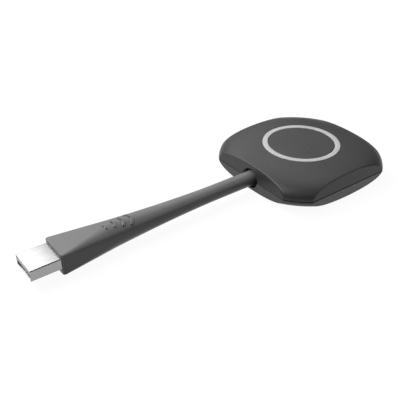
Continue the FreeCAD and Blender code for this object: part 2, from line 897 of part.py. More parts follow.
def plug_mould_form(fit):
    """Tapered block behind the plug, grown by a fit."""
    rings = []
    for x, width, height in ((-grip_end + mould_setback, mould_front_width, mould_front_height),
                             (-mould_end, mould_rear_width, mould_rear_height)):
        y = width / 2 + fit
        z = height / 2 + fit
        corners = [V(x, y, plug_z + z), V(x, -y, plug_z + z)]
        corners += [V(x, -y, plug_z - z), V(x, y, plug_z - z)]
        rings.append(Part.makePolygon(corners + corners[:1]))
    return Part.makeLoft(rings, True, True)


def make_tail_sleeve():
    """Moulded arm: plug grip, ribs, taper and the round stretch that enters the head."""
    bar = tapered_bar(grip_start, tail_inner_end, 0.0)
    body = fuse_all([bar, make_grip()] + make_grip_ribs())
    mouth = shell_block(mould_fit, -beyond, shell_end_x)
    bore = rod_x(jacket_r + jacket_fit, -mould_end - mould_fit - bite, 0)
    return cut_all(body, [plug_mould_form(mould_fit), mouth, bore])


def shell_block(grow, x0, x1):
    """Solid with the plug shell's rounded outline, grown by a size."""
    half_y = shell_width / 2 + grow
    half_z = shell_height / 2 + grow
    block = box(x0, x1, -half_y, half_y, plug_z - half_z, plug_z + half_z)
    edges = [edge for edge in block.Edges if edge.BoundBox.XLength > 0.5 * (x1 - x0)]
    return block.makeFillet(shell_corner + grow, edges)


def make_usb_shell():
    """Folded steel sleeve with two latch windows on its lower face."""
    shell = shell_block(0.0, shell_tip_x, shell_end_x)
    shell = shell.cut(shell_block(-shell_sheet, shell_tip_x - 1, shell_end_x + 1))
    for side in (-1, 1):
        window = centred_box(shell_tip_x + window_from_tip + window_length / 2,
                             side * window_pitch / 2, window_length, window_width, 0, plug_z)
        shell = shell.cut(window)
    return shell


def contact_places():
    """Side offsets of the four contacts."""
    outer = contact_outer_pitch / 2
    inner = contact_inner_pitch / 2
    return (-outer, -inner, inner, outer)


def contact_strip(y, grow):
    """One flat contact, grown by a fit."""
    half = contact_width / 2 + grow
    return box(contact_tip_x - grow, contact_end_x + grow, y - half, y + half,
               contact_bottom - grow, contact_bottom + contact_thick + grow)


def make_plug_insulator():
    """Tongue in the upper half of the shell, on a block that fills its rear."""
    half_y = shell_width / 2 - shell_sheet - shell_corner
    depth = tongue_top - plug_z
    tongue = box(tongue_tip_x, tongue_base_x + bite, -half_y, half_y, contact_bottom, tongue_top)
    base = box(tongue_base_x, shell_end_x, -half_y, half_y, plug_z - depth, tongue_top)
    body = tongue.fuse(base).removeSplitter()
    return cut_all(body, [contact_strip(y, contact_fit) for y in contact_places()])


def make_plug_mould():
    """Hard inner moulding around the rear of the plug, hollow for the joints."""
    body = plug_mould_form(0.0)
    cavity = box(shell_end_x, -jacket_plug_end, -mould_cavity_half_y, mould_cavity_half_y,
                 plug_z - mould_cavity_half_z, plug_z + mould_cavity_half_z)
    bore = rod_x(jacket_r + crimp_wall + 2 * jacket_fit, -jacket_plug_end, 0)
    return cut_all(body, [shell_block(mould_fit, -beyond, shell_end_x), cavity, bore])


def make_jacket():
    """Inner cable's jacket."""
    outer = rod_x(jacket_r, -jacket_plug_end, -jacket_head_end)
    return outer.cut(rod_x(jacket_r - jacket_wall, -beyond, 0))


def make_braid():
    """Shield under the jacket."""
    outer_r = jacket_r - jacket_wall - jacket_fit
    outer = rod_x(outer_r, -jacket_plug_end, -jacket_head_end)
    return outer.cut(rod_x(outer_r - braid_wall, -beyond, 0))


def make_crimp():
    """Ferrule that grips the jacket inside the plug."""
    outer = rod_x(jacket_r + jacket_fit + crimp_wall, -jacket_plug_end,
                  -jacket_plug_end + crimp_length)
    return outer.cut(rod_x(jacket_r + jacket_fit, -beyond, 0))


def bent_wire(points):
    """Round wire through a few points, with ball joints at its bends."""
    pieces = []
    for first, last in zip(points[:-1], points[1:]):
        run = last.sub(first)
        pieces.append(Part.makeCylinder(wire_r, run.Length, first, run))
    for point in points[1:-1]:
        pieces.append(Part.makeSphere(wire_r, point))
    return fuse_all(pieces)


def wire_route(index):
    """Points of one conductor, from its contact to the board plug."""
    contact_y = contact_places()[index]
    core_y = wire_pitch / 2 * (-1 if index < 2 else 1)
    core_z = seam + wire_pitch / 2 * (-1 if index % 2 else 1)
    joint_z = contact_bottom - wire_r
    plug_y = (index - 1.5) * cable_plug_pitch
    plug_x = cable_socket_x - cable_socket_length / 2 - cable_plug_length
    plug_z = board_top + 0.5 * cable_socket_height
    points = [V(shell_end_x + wire_joint_gap, contact_y, joint_z)]
    points.append(V(contact_end_x + wire_joint_gap, contact_y, joint_z))
    points.append(V(-jacket_plug_end - wire_lead, core_y, core_z))
    points.append(V(-jacket_head_end + wire_lead, core_y, core_z))
    points += [V(plug_x - wire_lead, plug_y, plug_z), V(plug_x, plug_y, plug_z)]
    return points


def plug_room(fit):
    """The cable plug's block, grown by a fit."""
    front = cable_socket_x + cable_socket_length / 2 - cable_plug_depth
    back = cable_socket_x - cable_socket_length / 2 - cable_plug_length
    half = cable_socket_width / 2 - cable_socket_wall + fit
    low = board_top + cable_socket_wall - fit
    high = board_top + cable_socket_height - cable_socket_wall + fit
    return box(back, front + fit, -half, half, low, high)


def make_cable_socket():
    """Board header that takes the cable's plug."""
    body = on_board(cable_socket_x, 0, cable_socket_length, cable_socket_width, cable_socket_height)
    return body.cut(plug_room(cable_plug_fit))


def make_cable_plug():
    """Crimp housing on the end of the conductors."""
    return plug_room(0.0)


def main():
    """Build and write every piece."""
    os.makedirs("parts", exist_ok=True)
    save("top_cover", make_top_cover())
    save("bottom_cover", make_bottom_cover())
    save("foot_pad", make_foot_pad())
    save("light_ring", make_light_ring())
    save("button_cap", make_button_cap())
    save("ring_reflector", make_reflector())
    save("ring_board", make_ring_board())
    save("ring_leds", make_leds())
    save("cover_screws", make_cover_screws())
    save("ring_screws", make_ring_screws())
    save("main_board", make_main_board())
    save("switch_body", make_switch_body())
    save("switch_frame", make_switch_frame())
    save("switch_stem", make_switch_stem())
    save("switch_dome", make_switch_dome())
    save("shield_can", shield_can(can_x, 0, can_length, can_width, board_top, can_height))
    save("processor_chip", make_processor())
    save("memory_chip", make_memory())
    save("radio_board", make_radio_board())
    save("radio_can", make_radio_can())
    save("flash_chip", make_flash_chip())
    save("regulator_chip", make_regulator_chip())
    save("crystal", make_crystal())
    save("capacitors", make_capacitors())
    save("inductors", make_inductors())
    save("board_link", make_board_link())
    save("heat_spreader", make_heat_spreader())
    save("thermal_pad", make_thermal_pad())
    save("antenna_left", make_antenna(1))
    save("antenna_right", make_antenna(-1))
    save("tail_sleeve", make_tail_sleeve())
    save("tail_grommet", make_grommet())
    save("usb_shell", make_usb_shell())
    save("plug_insulator", make_plug_insulator())
    save("plug_contacts", [contact_strip(y, 0.0) for y in contact_places()])
    save("plug_mould", make_plug_mould())
    save("cable_jacket", make_jacket())
    save("cable_braid", make_braid())
    save("cable_crimp", make_crimp())
    save("cable_socket", make_cable_socket())
    save("cable_plug", make_cable_plug())
    wires = ("wire_power", "wire_data_minus", "wire_data_plus", "wire_ground")
    for index, name in enumerate(wires):
        save(name, bent_wire(wire_route(index)))


main()
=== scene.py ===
"""Looks of a wireless presentation dongle.

A flat pillow-shaped head with a push button in a light ring stands on a foot pad. A stiff
moulded tail swells to a rectangular grip and ends in a USB-A plug. Lengths are millimetres and
become metres when a mesh is made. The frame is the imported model's: the origin is under the
centre of the foot pad, +Z is up and the tail runs along -X.
"""
import json
import logging
import math
from dataclasses import dataclass
from enum import Enum

import bpy
import numpy as np
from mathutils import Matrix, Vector


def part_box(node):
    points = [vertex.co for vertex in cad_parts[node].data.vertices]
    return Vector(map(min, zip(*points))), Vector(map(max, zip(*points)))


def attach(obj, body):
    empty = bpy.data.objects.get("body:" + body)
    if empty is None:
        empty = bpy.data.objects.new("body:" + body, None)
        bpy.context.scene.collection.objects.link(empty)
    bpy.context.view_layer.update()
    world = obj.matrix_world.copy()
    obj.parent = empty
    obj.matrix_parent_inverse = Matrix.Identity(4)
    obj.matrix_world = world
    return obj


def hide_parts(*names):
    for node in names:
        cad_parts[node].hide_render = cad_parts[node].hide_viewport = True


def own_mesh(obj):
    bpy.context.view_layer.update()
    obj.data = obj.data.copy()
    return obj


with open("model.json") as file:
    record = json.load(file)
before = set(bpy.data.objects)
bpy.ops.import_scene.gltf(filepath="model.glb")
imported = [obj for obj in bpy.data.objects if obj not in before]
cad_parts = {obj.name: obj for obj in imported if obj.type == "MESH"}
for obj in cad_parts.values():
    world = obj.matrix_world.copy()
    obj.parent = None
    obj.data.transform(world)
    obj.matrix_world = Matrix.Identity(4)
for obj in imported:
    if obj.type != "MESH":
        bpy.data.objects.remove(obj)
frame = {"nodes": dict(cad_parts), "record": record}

log = logging.getLogger("dongle")

Tree = bpy.types.NodeTree
Socket = bpy.types.NodeSocket
Piece = bpy.types.Object

METRES = 0.001

# Sizes that several pieces share
SEAM_HEIGHT = 6.6
TAIL_R = 3.25
PLUG_RISE = 0.4
PLUG_HALF_Y = 6.0
PLUG_HALF_Z = 2.25
PAD_R = 24.8
RING_INNER_R = 14.75
RING_OUTER_R = 17.1
FLANGE_R = 18.5
SPOOL_R = 4.65

# Radius of the row next to a pole, and a gap too small to see that keeps two faces apart
POLE_R = 0.2
HAIR = 0.001

# Rows over a small rounded edge
EDGE_STEPS = 4

# Directions a twentieth of a degree apart, from which the columns of a grid are picked
FINE_TURN = np.linspace(0.0, 2.0 * np.pi, 7201)

# Noise patterns stay mostly between these two values
NOISE_LOW = 0.3
NOISE_HIGH = 0.7


class Ends(Enum):
    """How the first and last rows of a grid are closed."""

    POLES = "poles"
    LOOP = "loop"


def link(mesh: bpy.types.Mesh, name: str) -> Piece:
    """Put a mesh in the scene.

    Args:
        mesh: the mesh.
        name: the object's name.

    Returns:
        The new object.
    """
    piece = bpy.data.objects.new(name, mesh)
    bpy.context.scene.collection.objects.link(piece)
    return piece


def smooth(mesh: bpy.types.Mesh, sharp_deg: float) -> None:
    """Shade a mesh smooth, but for edges past an angle."""
    mesh.shade_smooth()
    mesh.set_sharp_from_angle(angle=math.radians(sharp_deg))


def grid_piece(name: str, grid: np.ndarray, ends: Ends, sharp_deg: float = 40.0) -> Piece:
    """Make a closed piece from a grid of points.

    The columns always join round. Each cell is a quad between two rows and two columns. The
    signed volume under the faces tells which way they point, and they are turned to face out.

    Args:
        name: the piece's name.
        grid: points in millimetres, with rows, columns and x, y, z.
        ends: POLES closes both ends with a fan to the row's centre, LOOP joins them.
        sharp_deg: the angle between faces past which an edge stays sharp.

    Returns:
        The new object.
    """
    rows, columns = grid.shape[:2]
    points = grid.reshape(-1, 3)
    index = np.arange(rows * columns).reshape(rows, columns)
    lower = index if ends is Ends.LOOP else index[:-1]
    upper = np.roll(index, -1, axis=0) if ends is Ends.LOOP else index[1:]
    quads = np.stack([lower, np.roll(lower, -1, 1), np.roll(upper, -1, 1), upper], axis=-1).reshape(-1, 4)
    triangles = np.zeros((0, 3), int)
    if ends is Ends.POLES:
        poles = np.stack([grid[0].mean(axis=0), grid[-1].mean(axis=0)])
        points = np.vstack([points, poles])
        first, last = index[0], index[-1]
        start_fan = np.stack([np.roll(first, -1), first, np.full(columns, rows * columns)], axis=-1)
        end_fan = np.stack([last, np.roll(last, -1), np.full(columns, rows * columns + 1)], axis=-1)
        triangles = np.vstack([start_fan, end_fan])
    halves = np.vstack([quads[:, [0, 1, 2]], quads[:, [0, 2, 3]], triangles])
    a, b, c = (points[halves[:, k]] for k in range(3))
    if np.einsum("ij,ij->i", a, np.cross(b, c)).sum() < 0:
        quads, triangles = quads[:, ::-1], triangles[:, ::-1]
    mesh = bpy.data.meshes.new(name)
    mesh.from_pydata((points * METRES).tolist(), [], quads.tolist() + triangles.tolist())
    mesh.validate()
    smooth(mesh, sharp_deg)
    return link(mesh, name)


def cut(piece: Piece, cutter: Piece, sharp_deg: float = 40.0) -> None:
    """Take a cutter's volume out of a piece for good, and remove the cutter.

    Args:
        piece: the piece to cut.
        cutter: a closed solid.
        sharp_deg: the angle past which an edge of the result stays sharp.
    """
    modifier = piece.modifiers.new("cut", "BOOLEAN")
    modifier.operation = "DIFFERENCE"
    modifier.solver = "EXACT"
    modifier.object = cutter
    depsgraph = bpy.context.evaluated_depsgraph_get()
    result = bpy.data.meshes.new_from_object(piece.evaluated_get(depsgraph))
    piece.modifiers.clear()
    piece.data = result
    smooth(result, sharp_deg)
    bpy.data.objects.remove(cutter)


def full_turn(columns: int) -> np.ndarray:
    """Evenly spaced directions round an axis."""
    return np.linspace(0.0, 2.0 * np.pi, columns, endpoint=False)


def rounded(edge: float, steps: int) -> tuple[np.ndarray, np.ndarray]:
    """Offsets of a quarter circle that rounds an edge.

    Args:
        edge: radius of the edge.
        steps: how many points, both ends included.

    Returns:
        The radius times one less cosine, which grows from 0, and times one less sine, which
        falls to 0.
    """
    turn = np.linspace(0.0, 0.5 * np.pi, steps)
    return edge * (1.0 - np.cos(turn)), edge * (1.0 - np.sin(turn))


def turned(profile: np.ndarray, columns: int = 256) -> np.ndarray:
    """Carry a profile round the Z axis.

    Args:
        profile: rows of radius and height.
        columns: how many steps make the full turn.

    Returns:
        A grid: radius times cosine and sine of the turn, and the height.
    """
    turn = full_turn(columns)
    radius = profile[:, :1]
    height = np.broadcast_to(profile[:, 1:2], (len(profile), columns))
    return np.stack([radius * np.cos(turn), radius * np.sin(turn), height], axis=-1)


def rounded_reach(angle: np.ndarray, half_y: np.ndarray, half_z: np.ndarray,
                  radius: np.ndarray) -> np.ndarray:
    """Distance from the centre of a rounded rectangle to its edge.

    The edge is a circle of the corner radius carried round a smaller core rectangle. A ray meets
    the flat at the side or at the top where it passes inside the core's reach, and the corner's
    circle elsewhere.

    Args:
        angle: direction of the ray, from +Y towards +Z.
        half_y: half width.
        half_z: half height.
        radius: corner radius.

    Returns:
        The distance along each ray.
    """
    along = np.abs(np.cos(angle))
    rise = np.abs(np.sin(angle))
    core_y = half_y - radius
    core_z = half_z - radius
    to_side = half_y / np.maximum(along, 1e-9)
    to_top = half_z / np.maximum(rise, 1e-9)
    dot = along * core_y + rise * core_z
    to_corner = dot + np.sqrt(np.maximum(dot ** 2 - core_y ** 2 - core_z ** 2 + radius ** 2, 0.0))
    reach = np.where(to_side * rise <= core_z, to_side, to_corner)
    return np.where(to_top * along <= core_y, to_top, reach)


def swept(stations: np.ndarray, angle: np.ndarray) -> np.ndarray:
    """Carry rounded rectangles along the X axis.

    Args:
        stations: rows of x, rise above the tail's axis, half width, half height, corner radius.
        angle: directions of the columns round the axis.

    Returns:
        A grid of points, one row for each station.
    """
    x, rise, half_y, half_z, radius = (stations[:, k:k + 1] for k in range(5))
    reach = rounded_reach(angle[None, :], half_y, half_z, radius)
    y = reach * np.cos(angle)
    z = SEAM_HEIGHT + rise + reach * np.sin(angle)
    return np.stack([np.broadcast_to(x, y.shape), y, z], axis=-1)


def round_stations(x: np.ndarray, radius: np.ndarray) -> np.ndarray:
    """Stations that are circles on the tail's axis."""
    return np.stack([x, np.zeros_like(x), radius, radius, radius], axis=-1)


def block_stations(x0: float, x1: float, rise: float, half_y: float, half_z: float,
                   edge: float) -> np.ndarray:
    """Stations of a closed block along X whose edges are all rounded.

    At each end the outline draws in by the edge times one less sine, while x moves by the edge
    times one less cosine. The corner radius is a little over the edge and shrinks by nine tenths
    of the inset, so it stays above zero.

    Args:
        x0: lower end.
        x1: upper end.
        rise: height of the block's axis above the tail's axis.
        half_y: half width.
        half_z: half height.
        edge: radius of the edges.

    Returns:
        Rows of x, rise, half width, half height and corner radius.
    """
    depth, inset = rounded(edge, EDGE_STEPS)
    inset = np.concatenate([inset, inset[::-1]])
    x = np.concatenate([x0 + depth, x1 - depth[::-1]])
    rounder, shrink = 1.05, 0.9
    radius = rounder * edge - shrink * inset
    rows = [x, np.full_like(x, rise), half_y - inset, half_z - inset, radius]
    return np.stack(rows, axis=-1)


def spaced(density: np.ndarray, columns: int) -> np.ndarray:
    """Directions that each take an equal share of a density's running total.

    Args:
        density: how close together the directions are to be, at each of FINE_TURN.
        columns: how many directions.

    Returns:
        The directions.
    """
    total = np.concatenate([[0.0], np.cumsum(0.5 * (density[1:] + density[:-1]))])
    return np.interp(np.arange(columns) * total[-1] / columns, total, FINE_TURN)


def bell(distance: np.ndarray, width: float = 0.06) -> np.ndarray:
    """Value that is 1 at no distance and falls off as the exponential of its square."""
    return np.exp(-(distance / width) ** 2)


def gathered_turn(columns: int, half_y: float, half_z: float, gain: float,
                  top_gain: float = 0.0) -> np.ndarray:
    """Directions round an axis, closer together towards a rectangle's corners.

    The density is one, plus a bell of the gain at each corner, plus a further gain over the top,
    where the sine is past a tenth.

    Args:
        columns: how many directions.
        half_y: half width of the rectangle.
        half_z: half height of the rectangle.
        gain: extra density at the corners.
        top_gain: extra density over the top.

    Returns:
        The directions, from +Y towards +Z.
    """
    rise, run = np.sin(FINE_TURN), np.cos(FINE_TURN)
    off_corner = np.arctan2(np.abs(rise), np.abs(run)) - math.atan2(half_z, half_y)
    return spaced(1.0 + gain * bell(off_corner) + top_gain * (rise > 0.1), columns)


def blend_least(first: np.ndarray, second: np.ndarray, width: float) -> np.ndarray:
    """The lesser of two values, eased into each other where they differ by under a width."""
    share = np.clip(0.5 + 0.5 * (second - first) / width, 0.0, 1.0)
    return second * (1.0 - share) + first * share - width * share * (1.0 - share)


def ease(value: np.ndarray) -> np.ndarray:
    """Step from 0 to 1 with flat ends: 3 v squared less 2 v cubed."""
    value = np.clip(value, 0.0, 1.0)
    return value * value * (3.0 - 2.0 * value)


# Finishes

def linear(colour: str) -> tuple[float, float, float, float]:
    """Turn an sRGB hex colour into linear values, by the sRGB standard's own curve.

    Args:
        colour: a hash sign and six hex digits.

    Returns:
        Red, green and blue from 0 to 1, and alpha 1.
    """
    parts = [int(colour[k:k + 2], 16) / 255.0 for k in (1, 3, 5)]
    values = [v / 12.92 if v <= 0.04045 else ((v + 0.055) / 1.055) ** 2.4 for v in parts]
    return (values[0], values[1], values[2], 1.0)


def per_metre(size_mm: float) -> float:
    """Pattern scale whose features measure a size in millimetres."""
    return 1.0 / (size_mm * METRES)


def cleared(owner: bpy.types.Material | bpy.types.World) -> Tree:
    """Turn on and empty the nodes of a material or a world.

    Args:
        owner: the material or the world.

    Returns:
        Its node tree.
    """
    owner.use_nodes = True
    owner.node_tree.nodes.clear()
    return owner.node_tree


def node(tree: Tree, kind: str, inputs: dict[str | int, object] | None = None,
         **settings: object) -> bpy.types.Node:
    """Add a node with its settings and its inputs, linked or set.

    Args:
        tree: the material's or world's tree.
        kind: the node's type.
        inputs: value or output socket for each input, by name or number.
        settings: the node's own settings.

    Returns:
        The new node.
    """
    made = tree.nodes.new(kind)
    for key, value in settings.items():
        setattr(made, key, value)
    for key, value in (inputs or {}).items():
        if isinstance(value, Socket):
            tree.links.new(value, made.inputs[key])
        else:
            made.inputs[key].default_value = value
    return made


@dataclass(frozen=True)
class Finish:
    """A finish: a shader whose colour, roughness and relief come from patterns in real size.

    The colour wanders between two hex values over patches of a given size. The roughness wanders
    with a grain of its own size, and that grain gives the relief. The name says the real material
    and how its surface was made.
    """

    name: str
    colour: str
    second_colour: str
    roughness: float
    roughness_spread: float = 0.06
    patch_mm: float = 6.0
    grain_mm: float = 0.4
    relief_mm: float = 0.004
    metallic: float = 0.0
    specular: float = 0.5
    subsurface: float = 0.0
    subsurface_mm: float = 0.5
    stretch: tuple[float, float, float] = (1.0, 1.0, 1.0)

    def build(self) -> bpy.types.Material:
        """Make the material: one shader on object coordinates, with its three patterns.

        Returns:
            The material.
        """
        material = bpy.data.materials.new(self.name)
        tree = cleared(material)
        place = node(tree, "ShaderNodeTexCoord").outputs["Object"]
        drawn = node(tree, "ShaderNodeMapping", {"Vector": place, "Scale": self.stretch}).outputs[0]
        shader = node(tree, "ShaderNodeBsdfPrincipled", {
            "Base Color": self.paint(tree, place, drawn),
            "Roughness": self.dullness(tree, drawn),
            "Normal": self.surface(tree, drawn),
            "Metallic": self.metallic,
            "Specular IOR Level": self.specular,
            "Subsurface Weight": self.subsurface,
            "Subsurface Radius": (1.0, 1.0, 1.0),
            "Subsurface Scale": self.subsurface_mm * METRES,
        })
        node(tree, "ShaderNodeOutputMaterial", {"Surface": shader.outputs[0]})
        return material

    def paint(self, tree: Tree, place: Socket, drawn: Socket) -> Socket:
        """Colour that wanders between the two hex values, in soft clouds of the patch size.

        Args:
            tree: the material's tree.
            place: object coordinates; not used here.
            drawn: the same, stretched along the way the surface was made.

        Returns:
            The colour's socket.
        """
        clouds = node(tree, "ShaderNodeTexNoise", {
            "Vector": drawn, "Scale": per_metre(self.patch_mm), "Detail": 3.0, "Roughness": 0.55})
        patches = node(tree, "ShaderNodeMapRange", {
            "Value": clouds.outputs[0], "From Min": NOISE_LOW, "From Max": NOISE_HIGH})
        return self.mixed(tree, patches.outputs[0], linear(self.colour), linear(self.second_colour))

    def mixed(self, tree: Tree, share: Socket, first: object, second: object) -> Socket:
        """Mix two colours, each a socket or a value, by a share of the second."""
        return node(tree, "ShaderNodeMix", {"Factor": share, 6: first, 7: second},
                    data_type="RGBA").outputs[2]

    def dullness(self, tree: Tree, drawn: Socket) -> Socket:
        """Roughness that wanders round its middle value, three times as coarse as the grain.

        Args:
            tree: the material's tree.
            drawn: stretched object coordinates.

        Returns:
            The roughness's socket.
        """
        grain = node(tree, "ShaderNodeTexNoise", {
            "Vector": drawn, "Scale": per_metre(3.0 * self.grain_mm), "Detail": 4.0})
        return node(tree, "ShaderNodeMapRange", {
            "Value": grain.outputs[0], "From Min": NOISE_LOW, "From Max": NOISE_HIGH,
            "To Min": self.roughness - self.roughness_spread,
            "To Max": self.roughness + self.roughness_spread}).outputs[0]

    def surface(self, tree: Tree, drawn: Socket) -> Socket:
        """Relief of the grain.

        Args:
            tree: the material's tree.
            drawn: stretched object coordinates.

        Returns:
            The normal's socket.
        """
        grain = node(tree, "ShaderNodeTexNoise", {
            "Vector": drawn, "Scale": per_metre(self.grain_mm), "Detail": 2.0})
        return node(tree, "ShaderNodeBump", {
            "Height": grain.outputs[0], "Strength": 1.0,
            "Distance": self.relief_mm * METRES}).outputs[0]


@dataclass(frozen=True)
class SolderMask(Finish):
    """Circuit board laminate: green mask over copper tracks, with tinned pads."""

    track_cell_mm: float = 3.6
    track_edge: tuple[float, float] = (0.05, 0.09)
    pad_cell_mm: float = 2.7
    pad_edge: tuple[float, float] = (0.14, 0.18)
    copper: str = "#3F8F57"
    pad: str = "#C9C6B8"

    def paint(self, tree: Tree, place: Socket, drawn: Socket) -> Socket:
        """Mask colour, lighter over the tracks, with small round pads in a loose square pattern.

        The tracks run where the edges of one set of cells are, and a pad sits in the middle of
        each cell of another.

        Args:
            tree: the material's tree.
            place: object coordinates.
            drawn: the same, stretched.

        Returns:
            The colour's socket.
        """
        base = super().paint(tree, place, drawn)
        cells = node(tree, "ShaderNodeTexVoronoi", {
            "Vector": place, "Scale": per_metre(self.track_cell_mm), "Randomness": 0.9},
            feature="DISTANCE_TO_EDGE", distance="CHEBYCHEV")
        masked = self.mixed(tree, self.within(tree, cells, self.track_edge), base, linear(self.copper))
        dots = node(tree, "ShaderNodeTexVoronoi", {
            "Vector": place, "Scale": per_metre(self.pad_cell_mm), "Randomness": 0.35})
        return self.mixed(tree, self.within(tree, dots, self.pad_edge), masked, linear(self.pad))

    def within(self, tree: Tree, pattern: bpy.types.Node, edge: tuple[float, float]) -> Socket:
        """1 where a pattern's distance is under the first value of an edge, and 0 past the second."""
        return node(tree, "ShaderNodeMapRange", {
            "Value": pattern.outputs["Distance"], "From Min": edge[0], "From Max": edge[1],
            "To Min": 1.0, "To Max": 0.0}).outputs[0]


@dataclass(frozen=True)
class Braid(Finish):
    """Woven shield: two sets of bright strands that cross, with shade painted dark into the gaps between
    them.
    """

    strand_mm: float = 0.25
    lean_deg: float = 45.0
    # Colour of the shade painted into the gaps between strands
    gap: str = "#4A3A2C"

    def paint(self, tree: Tree, place: Socket, drawn: Socket) -> Socket:
        """Strand colour, with painted shade where neither set of strands passes."""
        base = super().paint(tree, place, drawn)
        return self.mixed(tree, self.weave(tree, place), linear(self.gap), base)

    def weave(self, tree: Tree, place: Socket) -> Socket:
        """Larger of two diagonal waves.

        Args:
            tree: the material's tree.
            place: object coordinates.

        Returns:
            A socket that is 1 in the middle of a strand and 0 in the gaps.
        """
        waves = []
        for lean in (self.lean_deg, -self.lean_deg):
            leaning = node(tree, "ShaderNodeMapping", {
                "Vector": place, "Rotation": (0.0, 0.0, math.radians(lean))})
            waves.append(node(tree, "ShaderNodeTexWave", {
                "Vector": leaning.outputs[0],
                "Scale": per_metre(self.strand_mm) / (2.0 * math.pi)}).outputs[1])
        return node(tree, "ShaderNodeMath", {0: waves[0], 1: waves[1]}, operation="MAXIMUM").outputs[0]


@dataclass(frozen=True)
class CappedBlocks(Finish):
    """Fired ceramic blocks in a row, each with a tinned cap at both ends."""

    pitch_mm: float = 2.5
    middle_mm: float = 13.5
    body_half_mm: float = 0.5
    cap: str = "#C4C4C0"

    def paint(self, tree: Tree, place: Socket, drawn: Socket) -> Socket:
        """Body colour near each block's middle, tin beyond it.

        The place along X is wrapped to one pitch, and its distance from half a pitch is compared
        with the body's half length. Fifty pitches are added first, so that it stays above zero.

        Args:
            tree: the material's tree.
            place: object coordinates.
            drawn: the same, stretched.

        Returns:
            The colour's socket.
        """
        base = super().paint(tree, place, drawn)
        value = node(tree, "ShaderNodeSeparateXYZ", {0: place}).outputs[0]
        steps = (("ADD", self.middle_mm + 50.0 * self.pitch_mm), ("MODULO", self.pitch_mm),
                 ("SUBTRACT", 0.5 * self.pitch_mm), ("ABSOLUTE", 0.0), ("GREATER_THAN", self.body_half_mm))
        for operation, size_mm in steps:
            value = node(tree, "ShaderNodeMath", {0: value, 1: size_mm * METRES},
                         operation=operation).outputs[0]
        return self.mixed(tree, value, base, linear(self.cap))


# Stretch of a pattern that is drawn out along a wire
ALONG_X = (0.2, 1.0, 1.0)

